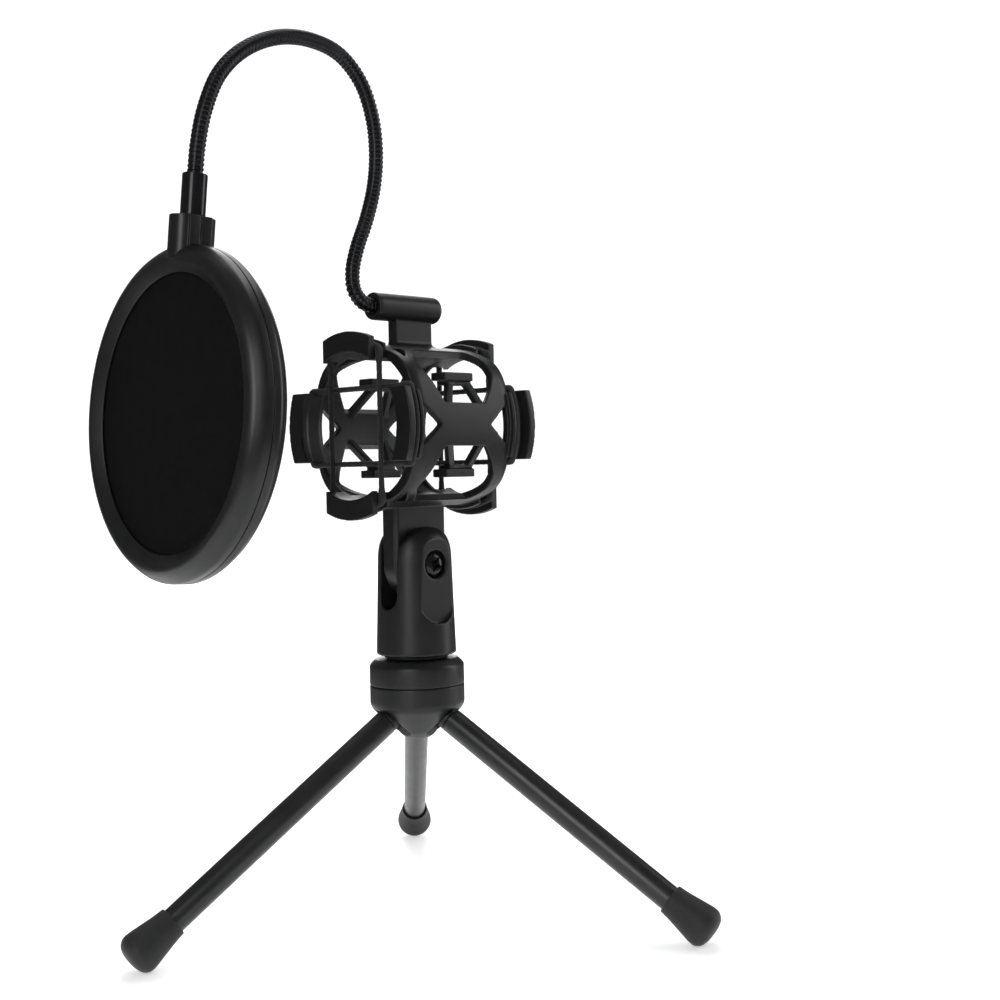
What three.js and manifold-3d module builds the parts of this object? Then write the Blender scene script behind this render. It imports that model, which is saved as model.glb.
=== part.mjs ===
// Desktop microphone stand with a pop filter: folding tripod, threaded clip, spider shock mount,
// gooseneck and a two-layer round pop screen. Millimetres, +Z up, floor at z = 0.
// The microphone would lie along Y with its front toward -Y, where the pop screen stands.

import * as THREE from 'three';
import { mergeVertices } from 'three/addons/utils/BufferGeometryUtils.js';
import Module from 'manifold-3d';

const wasm = await Module();
wasm.setup();

// ---------------------------------------------------------------- driving dimensions
const GAP = 0.3;

// tripod
const HUB_RADIUS = 19.2;
const HUB_TOP = 103.5;
const HUB_SEAM = 93;
const HUB_SKIRT = 84.2;
const NOSE_RADIUS = 8.6;
const NOSE_BOTTOM = 71;
const PIVOT_RADIUS = 11.6;
const PIVOT_HEIGHT = 81;
const LEG_SPLAY = THREE.MathUtils.degToRad(55.7);
const LEG_RADIUS = 5;
const LEG_WALL = 0.8;
const LEG_YAW = THREE.MathUtils.degToRad(139.3);
const SLOT_WIDTH = 10.8;
const PIN_RADIUS = 1.5;
const PIN_LENGTH = 13.2;
const KNUCKLE_LENGTH = 4;
const KNUCKLE_SPIGOT = 12;
const FOOT_LENGTH = 20.5;
const FOOT_RADIUS = 8.1;
const FOOT_OVERLAP = 13;

// thread and clip
const THREAD_RADIUS = 7.95;
const THREAD_TOP = 117;
const INSERT_RADIUS = 10;
const ROOM_ABOVE_STUD = 2.6;
const CLIP_BOTTOM = 105.2;
const CLIP_BOTTOM_RADIUS = 16.3;
const CLIP_TOP_RADIUS = 14.9;
const TILT_HEIGHT = 141.7;
const CHEEK_RADIUS = 15;
const FORK_GAP = 9.8;
const FORK_BOTTOM = 124;
const RECESS_FACE = 12.7;
const SCREW_RADIUS = 2.5;
const SCREW_HEAD_RADIUS = 5;

// shock mount cage, described about its own centre and the microphone axis
const CAGE_HEIGHT = 197.2;
const CAGE_OUTER = 32.4;
const CAGE_INNER = 29.2;
const CAGE_HALF = 25.8;
const CAGE_BULGE = 0.07;
const RIM_INNER = 29.4;
const LIP_OUTER = 36.8;
const LIP_INNER = 28.8;
const LIP_FRONT = 34;
const LIP_BACK = 31;
const PADDLE_HALF = 14;
const CORE_OUTER = 31.7;
const CORE_HALF = 13.4;
const FLANGE_OUTER = 34.4;
const FLANGE_BACK = 24.2;
const CORD_WIDTH = 2.2;
const CORD_SPAN = 14.8;
const CORD_RADIUS = 33.2;
const CORD_OUTER_PLANE = 29.6;
const CORD_INNER_PLANE = 27.2;
const PLATE_HALF_ANGLE = 12.5;
const BAR_HALF_WIDTH = 13;
const PAD_SIZE = { x: 8, y: 15.4, z: 3.2 };
const PAD_PLACE = { x: 22, y: 2, z: 19 };
const PAD_STEP = { x: 6, y: 10.4, z: 2 };
const PAD_STRUTS = [{ foot: -8.3, top: -0.5 }, { foot: 10.6, top: 8 }];
const NECK_WIDTH = 28;
const NECK_THICKNESS = 9.2;
const NECK_BEVEL = 1.5;

// gooseneck socket on the cage
const SOCKET_HEIGHT = 244.8;
const SOCKET_RADIUS = 5.5;
const SOCKET_FRONT = -20;
const SOCKET_REAR = 13.8;
const POST_THICKNESS = 5;
const POST_HALF = 9.6;

// gooseneck
const NECK_TUBE = 3;
const BALL_CLEARANCE = 0.5;
const GOOSE_ROUTE = [
  [-12, 244.8], [-19.6, 244.8], [-25, 246.1], [-28.8, 250.4], [-29.5, 257.5], [-26.9, 267],
  [-22.1, 278], [-18, 290.5], [-16.2, 304], [-17.6, 318.5], [-23.4, 332], [-34, 340.9], [-48, 343.6],
  [-63, 341.6], [-78, 334.4], [-89.2, 323.6], [-95.8, 310], [-99.2, 296.6], [-100.6, 286],
];
const GOOSE_JOINT_STOPS = [4, 7, 10, 12, 14, 17];
const STEPS_PER_STOP = 2;

// pop screen, described about the ring centre with the seam in the plane y = 0
const POP_TILT = THREE.MathUtils.degToRad(3.3);
const POP_LEAN = THREE.MathUtils.degToRad(3.6);
const POP_TURN = THREE.MathUtils.degToRad(-3.2);
const POP_DROP = 85.4;
const RING_OUTER = 60.3;
const RING_CREST = 54.2;
const RING_INNER = 50;
const CREST_DEPTH = 8;
const SCREEN_RADIUS = 53;
const SCREEN_DEPTH = 3.3;
const SCREEN_THICKNESS = 0.8;
const SEAM_HALF = 0.15;
const BOSS_HALF_WIDTH = 6.5;
const BOSS_BLOCK = 4.4;
const BOSS_BULGE = 5.6;
const BOSS_BULGE_CENTRE = 2.9;
const BOSS_TOP = 70.1;
const BOSS_BOTTOM = 54.3;
const FERRULE_RADIUS = 4.5;
const FERRULE_LENGTH = 15;

// ---------------------------------------------------------------- materials
const finish = (color, roughness, metalness) =>
  new THREE.MeshStandardMaterial({ color, roughness, metalness });

const BLACK_PLASTIC = finish('#1b1b1d', 0.55, 0);
const RING_PLASTIC = finish('#1e1e20', 0.42, 0);
const RUBBER = finish('#161616', 0.85, 0);
const PAINTED_STEEL = finish('#1d1d1f', 0.35, 0.3);
const BLACK_METAL = finish('#141416', 0.25, 0.8);
const BRASS = finish('#b08a3e', 0.35, 1);
const STEEL = finish('#8d9094', 0.35, 1);
const ELASTIC = finish('#121213', 0.9, 0);
const MESH_FABRIC = finish('#0d0d0e', 0.95, 0);

// ---------------------------------------------------------------- solid helpers
function solid(geometry) {
  const bare = geometry.clone();
  bare.deleteAttribute('normal');
  bare.deleteAttribute('uv');
  const merged = mergeVertices(bare, 1e-4);
  return new wasm.Manifold(new wasm.Mesh({
    numProp: 3,
    vertProperties: new Float32Array(merged.attributes.position.array),
    triVerts: new Uint32Array(merged.index.array),
  }));
}

function geometryOf(body) {
  const mesh = body.getMesh();
  const geometry = new THREE.BufferGeometry();
  geometry.setAttribute('position', new THREE.BufferAttribute(mesh.vertProperties, 3));
  geometry.setIndex(new THREE.BufferAttribute(mesh.triVerts, 1));
  geometry.computeVertexNormals();
  return geometry;
}

const joined = (...geometries) => geometries.map(solid).reduce((sum, next) => sum.add(next));

const cutFrom = (body, ...geometries) =>
  geometries.reduce((rest, tool) => rest.subtract(solid(tool)), body);

function box(sizeX, sizeY, sizeZ, x = 0, y = 0, z = 0) {
  return new THREE.BoxGeometry(sizeX, sizeY, sizeZ).translate(x, y, z);
}

// A turned solid about Z from [radius, height] pairs.
function turned(profile, segments = 28) {
  const points = profile.map(([radius, height]) => new THREE.Vector2(radius, height));
  return new THREE.LatheGeometry(points, segments).rotateX(Math.PI / 2);
}

const ring = (profile, segments) => turned([...profile, profile[0]], segments);

const rodZ = (radius, from, to, segments = 20) =>
  turned([[0, from], [radius, from], [radius, to], [0, to]], segments);

const rodX = (radius, from, to, segments = 20) => rodZ(radius, from, to, segments).rotateY(Math.PI / 2);

function outline(points) {
  return new THREE.Shape(points.map(([u, v]) => new THREE.Vector2(u, v)));
}

// A flat outline given in (y, z), extruded along X and centred on x = 0.
function slabAcrossX(shape, thickness, bevel = 0) {
  const geometry = new THREE.ExtrudeGeometry(shape, {
    depth: thickness - 2 * bevel,
    bevelEnabled: bevel > 0,
    bevelThickness: bevel,
    bevelSize: bevel,
    bevelOffset: -bevel,
    bevelSegments: 1,
    curveSegments: 10,
  });
  const turn = new THREE.Matrix4().makeBasis(
    new THREE.Vector3(0, 1, 0), new THREE.Vector3(0, 0, 1), new THREE.Vector3(1, 0, 0));
  return geometry.translate(0, 0, bevel - thickness / 2).applyMatrix4(turn);
}

// A flat outline given in (x, z), extruded along Y between two planes.
function slabAlongY(shape, from, to, curveSegments = 6) {
  const settings = { depth: to - from, bevelEnabled: false, curveSegments };
  return new THREE.ExtrudeGeometry(shape, settings).rotateX(Math.PI / 2).translate(0, to, 0);
}

const body = new THREE.Group();

function part(name, geometry, material, parent = body) {
  const mesh = new THREE.Mesh(geometry, material);
  mesh.name = name;
  parent.add(mesh);
  return mesh;
}

// ---------------------------------------------------------------- tripod hub
// The slot that lets one leg swing from splayed to hanging, in (radial, z), and its stop.
function slotOutline() {
  const clearance = LEG_RADIUS + GAP + 0.1;
  const shape = new THREE.Shape();
  shape.moveTo(PIVOT_RADIUS - clearance, NOSE_BOTTOM - 4);
  shape.lineTo(PIVOT_RADIUS - clearance, PIVOT_HEIGHT);
  shape.absarc(PIVOT_RADIUS, PIVOT_HEIGHT, clearance, Math.PI, LEG_SPLAY, true);
  shape.lineTo(
    PIVOT_RADIUS + clearance * Math.cos(LEG_SPLAY) + 20 * Math.sin(LEG_SPLAY),
    PIVOT_HEIGHT + clearance * Math.sin(LEG_SPLAY) - 20 * Math.cos(LEG_SPLAY));
  shape.lineTo(PIVOT_RADIUS + 24, NOSE_BOTTOM - 4);
  shape.closePath();
  return shape;
}

// Extrudes a (radial, z) outline across the slot and turns it to a leg's direction.
function acrossSlot(shape, width, yaw) {
  const settings = { depth: width, bevelEnabled: false, curveSegments: 8 };
  return new THREE.ExtrudeGeometry(shape, settings)
    .rotateX(Math.PI / 2)
    .translate(0, width / 2, 0)
    .rotateZ(yaw);
}

const legYaws = [0, 1, 2].map((leg) => LEG_YAW + (leg * 2 * Math.PI) / 3);

function pinRod(radius, length, yaw) {
  return rodZ(radius, -length / 2, length / 2, 12)
    .rotateX(Math.PI / 2)
    .translate(PIVOT_RADIUS, 0, PIVOT_HEIGHT)
    .rotateZ(yaw);
}

function hubBody() {
  const blank = turned([
    [0, NOSE_BOTTOM], [4.9, NOSE_BOTTOM], [NOSE_RADIUS, 73.6], [HUB_RADIUS, HUB_SKIRT],
    [HUB_RADIUS, HUB_SEAM - GAP / 2], [0, HUB_SEAM - GAP / 2],
  ], 36);
  const slots = legYaws.map((yaw) => acrossSlot(slotOutline(), SLOT_WIDTH, yaw));
  const pinHoles = legYaws.map((yaw) => pinRod(PIN_RADIUS + GAP, PIN_LENGTH + GAP, yaw));
  const boltHole = rodZ(2.3, NOSE_BOTTOM - 1, HUB_SEAM + 1, 12);
  const boltSeat = rodZ(3.8, NOSE_BOTTOM - 1, NOSE_BOTTOM + 3.2, 16);
  return geometryOf(cutFrom(solid(blank), ...slots, ...pinHoles, boltHole, boltSeat));
}

const hubCap = ring([
  [THREAD_RADIUS + 0.4, 97.3], [11.4, 97.3], [11.4, HUB_SEAM + GAP / 2], [HUB_RADIUS, HUB_SEAM + GAP / 2],
  [HUB_RADIUS, 101.2], [16.9, HUB_TOP], [THREAD_RADIUS + 0.4, HUB_TOP],
], 36);

const stud = geometryOf(cutFrom(
  solid(turned([
    [0, HUB_SEAM + GAP], [11, HUB_SEAM + GAP], [11, 97], [THREAD_RADIUS, 97],
    [THREAD_RADIUS, THREAD_TOP - 1], [THREAD_RADIUS - 1, THREAD_TOP], [0, THREAD_TOP],
  ], 24)),
  rodZ(2.3, HUB_SEAM, 104, 12)));

const bolt = turned([
  [0, NOSE_BOTTOM + 0.4], [3.5, NOSE_BOTTOM + 0.4], [3.5, NOSE_BOTTOM + 2.9], [2, NOSE_BOTTOM + 2.9],
  [2, 103], [0, 103],
], 16);

const collar = ring([
  [THREAD_RADIUS + 0.4, HUB_TOP + GAP], [13, HUB_TOP + GAP], [13, CLIP_BOTTOM - GAP],
  [THREAD_RADIUS + 0.4, CLIP_BOTTOM - GAP],
], 24);

part('hub_lower_body', hubBody(), BLACK_PLASTIC);
part('hub_top_cap', hubCap, BLACK_PLASTIC);
part('hub_centre_bolt', bolt, STEEL);
part('threaded_stud', stud, STEEL);
part('stud_collar_washer', collar, RUBBER);
legYaws.forEach((yaw, leg) => part(`leg_pin_${leg + 1}`, pinRod(PIN_RADIUS, PIN_LENGTH, yaw), STEEL));

// ---------------------------------------------------------------- legs
// Each leg is drawn hanging down from its pivot, then swung out by the splay.
const footProfile = [
  [5.9, 0], [6.3, 4], [7.2, 9.5], [FOOT_RADIUS, 15], [FOOT_RADIUS - 0.3, 17.4],
  [FOOT_RADIUS - 1.8, 19.4], [3.4, FOOT_LENGTH - 0.2], [0, FOOT_LENGTH],
];

const lowestReach = Math.max(...footProfile.map(([radius, along]) =>
  Math.cos(LEG_SPLAY) * along + Math.sin(LEG_SPLAY) * radius));
const footStart = (PIVOT_HEIGHT - lowestReach) / Math.cos(LEG_SPLAY);
const tubeEnd = footStart + FOOT_OVERLAP;

function knuckle() {
  const shaft = rodZ(LEG_RADIUS - 0.1, -KNUCKLE_LENGTH, 0, 16);
  const dome = new THREE.SphereGeometry(LEG_RADIUS - 0.1, 16, 10).rotateX(Math.PI / 2);
  const spigotRadius = LEG_RADIUS - LEG_WALL - GAP;
  const spigot = rodZ(spigotRadius, -KNUCKLE_LENGTH - KNUCKLE_SPIGOT, -KNUCKLE_LENGTH + 1, 16);
  const pinHole = rodZ(PIN_RADIUS + GAP, -10, 10, 12).rotateX(Math.PI / 2);
  return geometryOf(cutFrom(joined(shaft, dome, spigot), pinHole));
}

const legTube = ring([
  [LEG_RADIUS - LEG_WALL, -tubeEnd], [LEG_RADIUS, -tubeEnd],
  [LEG_RADIUS, -KNUCKLE_LENGTH - GAP], [LEG_RADIUS - LEG_WALL, -KNUCKLE_LENGTH - GAP],
], 20);

const footCap = ring([
  [LEG_RADIUS + GAP, -footStart], [LEG_RADIUS + GAP, -tubeEnd - GAP], [0, -tubeEnd - GAP],
  ...footProfile.map(([radius, along]) => [radius, -footStart - along]).reverse(),
], 20);

legYaws.forEach((yaw, index) => {
  const direction = new THREE.Group();
  direction.rotation.z = yaw;
  body.add(direction);
  const leg = new THREE.Group();
  leg.position.set(PIVOT_RADIUS, 0, PIVOT_HEIGHT);
  leg.rotation.y = -LEG_SPLAY;
  direction.add(leg);
  part(`leg_knuckle_${index + 1}`, knuckle(), BLACK_PLASTIC, leg);
  part(`leg_tube_${index + 1}`, legTube, PAINTED_STEEL, leg);
  part(`rubber_foot_${index + 1}`, footCap, RUBBER, leg);
});

// ---------------------------------------------------------------- clip
function clipBody() {
  const blank = turned([
    [0, CLIP_BOTTOM], [CLIP_BOTTOM_RADIUS - 0.8, CLIP_BOTTOM], [CLIP_BOTTOM_RADIUS, CLIP_BOTTOM + 0.9],
    [CLIP_TOP_RADIUS, 146], [14.3, 149.5], [12.9, 153], [10.6, 155.6], [7.4, 157], [0, 157.2],
  ], 32);
  const side = new THREE.Shape();
  side.moveTo(-20, CLIP_BOTTOM - 1);
  side.lineTo(20, CLIP_BOTTOM - 1);
  side.lineTo(20, TILT_HEIGHT - 8);
  side.lineTo(CHEEK_RADIUS, TILT_HEIGHT);
  side.absarc(0, TILT_HEIGHT, CHEEK_RADIUS, 0, Math.PI, false);
  side.lineTo(-20, TILT_HEIGHT - 8);
  side.closePath();
  const fork = new THREE.Shape();
  fork.moveTo(FORK_GAP / 2, 170);
  fork.lineTo(-FORK_GAP / 2, 170);
  fork.lineTo(-FORK_GAP / 2, FORK_BOTTOM + FORK_GAP / 2);
  fork.absarc(0, FORK_BOTTOM + FORK_GAP / 2, FORK_GAP / 2, Math.PI, 2 * Math.PI, false);
  fork.closePath();
  const recess = new THREE.Shape();
  recess.moveTo(-8.6, 127.5);
  recess.absarc(0, 127.5, 9.4, Math.PI, 2 * Math.PI, false);
  recess.absarc(0, TILT_HEIGHT, 10.4, 0, Math.PI, false);
  recess.closePath();
  const recessTool = (sign) => slabAcrossX(recess, 8).translate(sign * (RECESS_FACE + 4), 0, 0);
  const screwAt = (geometry) => geometry.translate(0, 0, TILT_HEIGHT);
  return geometryOf(cutFrom(
    solid(blank).intersect(solid(slabAcrossX(side, 44))),
    slabAlongY(fork, -20, 20),
    recessTool(1),
    recessTool(-1),
    screwAt(rodX(SCREW_RADIUS + GAP, -20, 20, 16)),
    screwAt(rodX(SCREW_HEAD_RADIUS + 0.8, 9.4, 20, 24)),
    screwAt(rodX(4.9, -20, -9.2, 6)),
    rodZ(INSERT_RADIUS + GAP, CLIP_BOTTOM - 1, THREAD_TOP + ROOM_ABOVE_STUD, 24)));
}

const threadInsert = ring([
  [THREAD_RADIUS + GAP, CLIP_BOTTOM + 0.4], [INSERT_RADIUS, CLIP_BOTTOM + 0.4],
  [INSERT_RADIUS, THREAD_TOP + 1], [THREAD_RADIUS + GAP, THREAD_TOP + 1],
], 28);

const tiltScrew = turned([
  [0, -13.4], [SCREW_RADIUS, -13.4], [SCREW_RADIUS, 9.7], [SCREW_HEAD_RADIUS, 9.7],
  [SCREW_HEAD_RADIUS, 11.4], [3.6, 12.6], [0, 13],
], 20).rotateY(Math.PI / 2).translate(0, 0, TILT_HEIGHT);

const tiltNut = geometryOf(cutFrom(solid(rodX(4.5, -12.6, -9.5, 6)), rodX(SCREW_RADIUS + GAP, -15, -5, 16)))
  .translate(0, 0, TILT_HEIGHT);

part('clip_body', clipBody(), BLACK_PLASTIC);
part('thread_insert', threadInsert, BRASS);
part('tilt_screw', tiltScrew, STEEL);
part('tilt_nut', tiltNut, STEEL);

// ---------------------------------------------------------------- shock mount cage
const radians = THREE.MathUtils.degToRad;

// A prism that cuts straight outward through the barrel at one angle about the Y axis.
// Outline points are [across, y]; side flips the across direction.
function radialPrism(angle, points, side = 1, from = 12, to = 45) {
  const shape = outline(points.map(([across, y]) => [side * across, y]));
  const geometry = new THREE.ExtrudeGeometry(shape, { depth: to - from, bevelEnabled: false });
  const place = new THREE.Matrix4().makeBasis(
    new THREE.Vector3(Math.sin(angle), 0, -Math.cos(angle)),
    new THREE.Vector3(0, 1, 0),
    new THREE.Vector3(Math.cos(angle), 0, Math.sin(angle)));
  return geometry.translate(0, 0, from).applyMatrix4(place);
}

const barAngle = 90 - THREE.MathUtils.radToDeg(Math.asin(BAR_HALF_WIDTH / CAGE_OUTER));
const windowAngle = (PLATE_HALF_ANGLE + barAngle) / 2;
const windowHalf = CAGE_INNER * Math.sin(radians(barAngle - PLATE_HALF_ANGLE) / 2);

// The four large windows: straight along the side plate and the bar, arched toward the rear.
const windowPoints = [
  [-windowHalf, -10.8], [-windowHalf, 10.8], [-8, 15.2], [-1.9, 18.6], [5, 18.6], [windowHalf, 15.6],
  [windowHalf, -13.5], [3, -20.3],
];
// Small triangles between the two struts that meet the bars near the front.
const strutWindowPoints = [[5.4, -23.2], [windowHalf, -17.6], [windowHalf, -23.2]];
// Triangles between each side plate and its end paddles.
const endWindowPoints = [[0, -13.2], [8.2, -22.8], [-8.2, -22.8]];

// The barrel stands prouder between its plates and bars than over them: it is a rounded square.
function bulged(geometry, rimInner) {
  const place = geometry.attributes.position;
  for (let i = 0; i < place.count; i += 1) {
    const x = place.getX(i);
    const z = place.getZ(i);
    const radius = Math.hypot(x, z);
    const swell = 1 + CAGE_BULGE * Math.sin(2 * Math.atan2(z, x)) ** 4;
    const grow = Math.abs(radius - rimInner) < 1e-3 ? 1 : swell;
    place.setXYZ(i, x * grow, place.getY(i), z * grow);
  }
  return geometry;
}

// An arc-shaped block about the Y axis with straight ends, centred on +Z.
function paddleOutline(inner, outer, half) {
  const start = Math.asin(half / outer);
  const end = Math.asin(half / inner);
  const shape = new THREE.Shape();
  shape.absarc(0, 0, outer, Math.PI / 2 - start, Math.PI / 2 + start, false);
  shape.absarc(0, 0, inner, Math.PI / 2 + end, Math.PI / 2 - end, true);
  shape.closePath();
  return shape;
}

function paddle(quarter, sign) {
  const layers = [
    slabAlongY(paddleOutline(LIP_INNER, LIP_OUTER, PADDLE_HALF), LIP_BACK, LIP_FRONT),
    slabAlongY(paddleOutline(LIP_INNER + 0.2, CORE_OUTER, CORE_HALF), CAGE_HALF - 1.2, LIP_BACK + 0.5),
    slabAlongY(paddleOutline(LIP_INNER + 0.4, FLANGE_OUTER, CORE_HALF - 0.4), FLANGE_BACK, CAGE_HALF),
  ];
  return layers.map((layer) => {
    if (sign < 0) layer.rotateZ(Math.PI);
    return layer.rotateY((quarter * Math.PI) / 2);
  });
}

// A level guard pad on a step, held inward and away from the side plate by two leaning struts.
// sideX and sideZ say which quarter it stands in.
function guardPad(sideX, sideZ) {
  const { x, y, z } = PAD_PLACE;
  const pad = box(PAD_SIZE.x, PAD_SIZE.y, PAD_SIZE.z, sideX * x, y, sideZ * z);
  const stepZ = z - (PAD_SIZE.z + PAD_STEP.z) / 2 + 0.2;
  const step = box(PAD_STEP.x, PAD_STEP.y, PAD_STEP.z, sideX * x, y, sideZ * stepZ);
  const struts = PAD_STRUTS.map(({ foot, top }) => {
    const start = new THREE.Vector3(sideX * 30, foot, sideZ * 5.4);
    const end = new THREE.Vector3(sideX * (x + 0.6), top, sideZ * (z - 1.6));
    const place = new THREE.Matrix4().lookAt(end, start, new THREE.Vector3(0, 1, 0));
    return box(3, 2.8, start.distanceTo(end), 0, 0, 0)
      .applyMatrix4(place)
      .translate(...start.add(end).multiplyScalar(0.5).toArray());
  });
  return [pad, step, ...struts];
}

function neckBar() {
  const axis = TILT_HEIGHT - CAGE_HEIGHT;
  const shape = new THREE.Shape();
  shape.moveTo(NECK_WIDTH / 2, -30.4);
  shape.lineTo(-NECK_WIDTH / 2, -30.4);
  shape.lineTo(-NECK_WIDTH / 2, axis);
  shape.absarc(0, axis, NECK_WIDTH / 2, Math.PI, 2 * Math.PI, false);
  shape.closePath();
  return slabAcrossX(shape, NECK_THICKNESS, NECK_BEVEL);
}

function socketBarrel() {
  const length = SOCKET_REAR - SOCKET_FRONT;
  return turned([
    [0, 0], [3.4, 0], [4.9, 0.7], [SOCKET_RADIUS, 2], [SOCKET_RADIUS, length - 1.2],
    [SOCKET_RADIUS - 0.9, length], [0, length],
  ], 20).rotateX(Math.PI / 2).translate(0, SOCKET_REAR, SOCKET_HEIGHT - CAGE_HEIGHT);
}

function cage() {
  const barrel = ring([
    [RIM_INNER, -CAGE_HALF], [CAGE_OUTER - 0.8, -CAGE_HALF], [CAGE_OUTER, -CAGE_HALF + 3],
    [CAGE_OUTER, CAGE_HALF - 3], [CAGE_OUTER - 0.8, CAGE_HALF], [RIM_INNER, CAGE_HALF],
    [RIM_INNER, CAGE_HALF - 1.6], [CAGE_INNER, CAGE_HALF - 2], [CAGE_INNER, 2 - CAGE_HALF],
    [RIM_INNER, 1.6 - CAGE_HALF],
  ], 40).rotateX(Math.PI / 2);
  const quadrants = [[windowAngle, -1], [-windowAngle, 1], [180 - windowAngle, 1], [180 + windowAngle, -1]];
  const windows = quadrants.flatMap(([angle, side]) => [
    radialPrism(radians(angle), windowPoints, side),
    radialPrism(radians(angle), strutWindowPoints, side),
  ]);
  const ends = [0, Math.PI].flatMap((angle) => [1, -1].map((sign) =>
    radialPrism(angle, endWindowPoints.map(([across, y]) => [across, sign * y]))));
  const paddles = [0, 1, 2, 3].flatMap((quarter) => [...paddle(quarter, 1), ...paddle(quarter, -1)]);
  const pads = [[1, 1], [1, -1], [-1, 1], [-1, -1]].flatMap(([sideX, sideZ]) => guardPad(sideX, sideZ));
  const postHeight = SOCKET_HEIGHT - CAGE_HEIGHT - CAGE_OUTER;
  const post = box(POST_THICKNESS, 2 * POST_HALF, postHeight + 2, 0, 0, CAGE_OUTER + postHeight / 2 - 1);
  const postFoot = box(POST_THICKNESS + 2.4, 2 * POST_HALF + 3, 2.4, 0, 0, CAGE_OUTER);
  const open = cutFrom(solid(bulged(barrel, RIM_INNER)), ...windows, ...ends);
  const whole = [...paddles, ...pads, neckBar(), post, postFoot, socketBarrel()]
    .reduce((sum, piece) => sum.add(solid(piece)), open);
  const bore = rodZ(NECK_TUBE + GAP, SOCKET_FRONT - 1, -7, 20).rotateX(-Math.PI / 2)
    .translate(0, 0, SOCKET_HEIGHT - CAGE_HEIGHT);
  const screwHole = rodX(SCREW_RADIUS + GAP, -10, 10, 16).translate(0, 0, TILT_HEIGHT - CAGE_HEIGHT);
  return geometryOf(cutFrom(whole, bore, screwHole));
}

const mount = new THREE.Group();
mount.position.z = CAGE_HEIGHT;
body.add(mount);
part('shock_mount_cage', cage(), BLACK_PLASTIC, mount);

// One elastic loop stretched round two opposite paddles.
function elasticLoop() {
  const loopOutline = (grow) => {
    const span = CORD_SPAN + grow;
    const radius = CORD_RADIUS + grow;
    const start = Math.asin(span / radius);
    const shape = new THREE.Shape();
    shape.absarc(0, 0, radius, Math.PI / 2 - start, Math.PI / 2 + start, false);
    shape.absarc(0, 0, radius, 1.5 * Math.PI - start, 1.5 * Math.PI + start, false);
    shape.closePath();
    return shape;
  };
  const shape = loopOutline(CORD_WIDTH / 2);
  shape.holes.push(new THREE.Path(loopOutline(-CORD_WIDTH / 2).getPoints(5)));
  return slabAlongY(shape, -CORD_WIDTH / 2, CORD_WIDTH / 2, 5);
}

const loopWays = [['upright', CORD_OUTER_PLANE, 0], ['level', CORD_INNER_PLANE, Math.PI / 2]];
[['front', -1], ['rear', 1]].forEach(([end, sign]) => {
  loopWays.forEach(([way, plane, turn]) => {
    const loop = part(`elastic_${end}_${way}`, elasticLoop(), ELASTIC, mount);
    loop.rotation.y = turn;
    loop.position.y = sign * plane;
  });
});

// ---------------------------------------------------------------- gooseneck
const goosePoints = GOOSE_ROUTE.map(([y, z]) => new THREE.Vector3(0, y, z));
const gooseCurve = new THREE.CatmullRomCurve3(goosePoints, false, 'centripetal');
const stopParameter = (stop) => stop / (goosePoints.length - 1);

// The stretch of the gooseneck between two route stops as a curve of its own.
class Stretch extends THREE.Curve {
  constructor(from, to) {
    super();
    this.from = from;
    this.to = to;
  }

  getPoint(t, target = new THREE.Vector3()) {
    return gooseCurve.getPoint(THREE.MathUtils.lerp(this.from, this.to, t), target);
  }
}

function gooseTube(from, to) {
  const start = Math.PI / 2;
  const circle = new THREE.Shape().absarc(0, 0, NECK_TUBE, start, start + 2 * Math.PI, false);
  return new THREE.ExtrudeGeometry(circle, {
    steps: (to - from) * STEPS_PER_STOP,
    bevelEnabled: false,
    curveSegments: 5,
    extrudePath: new Stretch(stopParameter(from), stopParameter(to)),
  });
}

const ball = (radius, at) => new THREE.SphereGeometry(radius, 10, 7).translate(0, at.y, at.z);

function gooseLink(from, to) {
  let link = solid(gooseTube(from, to));
  if (to < goosePoints.length - 1) link = link.add(solid(ball(NECK_TUBE, goosePoints[to])));
  if (from > 0) link = link.subtract(solid(ball(NECK_TUBE + BALL_CLEARANCE, goosePoints[from])));
  return geometryOf(link);
}

const gooseStops = [0, ...GOOSE_JOINT_STOPS, goosePoints.length - 1];
const gooseNames = ['root', '1', '2', '3', '4', '5', 'tip'];
gooseNames.forEach((name, index) => {
  part(`gooseneck_${name}`, gooseLink(gooseStops[index], gooseStops[index + 1]), BLACK_METAL);
});

// ---------------------------------------------------------------- pop screen
const pop = new THREE.Group();
const popTop = goosePoints[goosePoints.length - 1];
pop.rotation.set(-POP_TILT, POP_LEAN, POP_TURN);
pop.position.copy(new THREE.Vector3(0, 0, -POP_DROP).applyEuler(pop.rotation).add(popTop));
body.add(pop);

// The front half of the collar on top of the rings: a block with a round front.
function halfBoss() {
  const edge = Math.asin((BOSS_BLOCK - BOSS_BULGE_CENTRE) / BOSS_BULGE);
  const shape = new THREE.Shape();
  shape.moveTo(BOSS_HALF_WIDTH, -SEAM_HALF);
  shape.lineTo(-BOSS_HALF_WIDTH, -SEAM_HALF);
  shape.lineTo(-BOSS_HALF_WIDTH, -BOSS_BLOCK);
  shape.absarc(0, -BOSS_BULGE_CENTRE, BOSS_BULGE, Math.PI + edge, 2 * Math.PI - edge, false);
  shape.lineTo(BOSS_HALF_WIDTH, -BOSS_BLOCK);
  shape.closePath();
  const settings = { depth: BOSS_TOP - BOSS_BOTTOM, bevelEnabled: false, curveSegments: 14 };
  return new THREE.ExtrudeGeometry(shape, settings).translate(0, 0, BOSS_BOTTOM);
}

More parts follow.
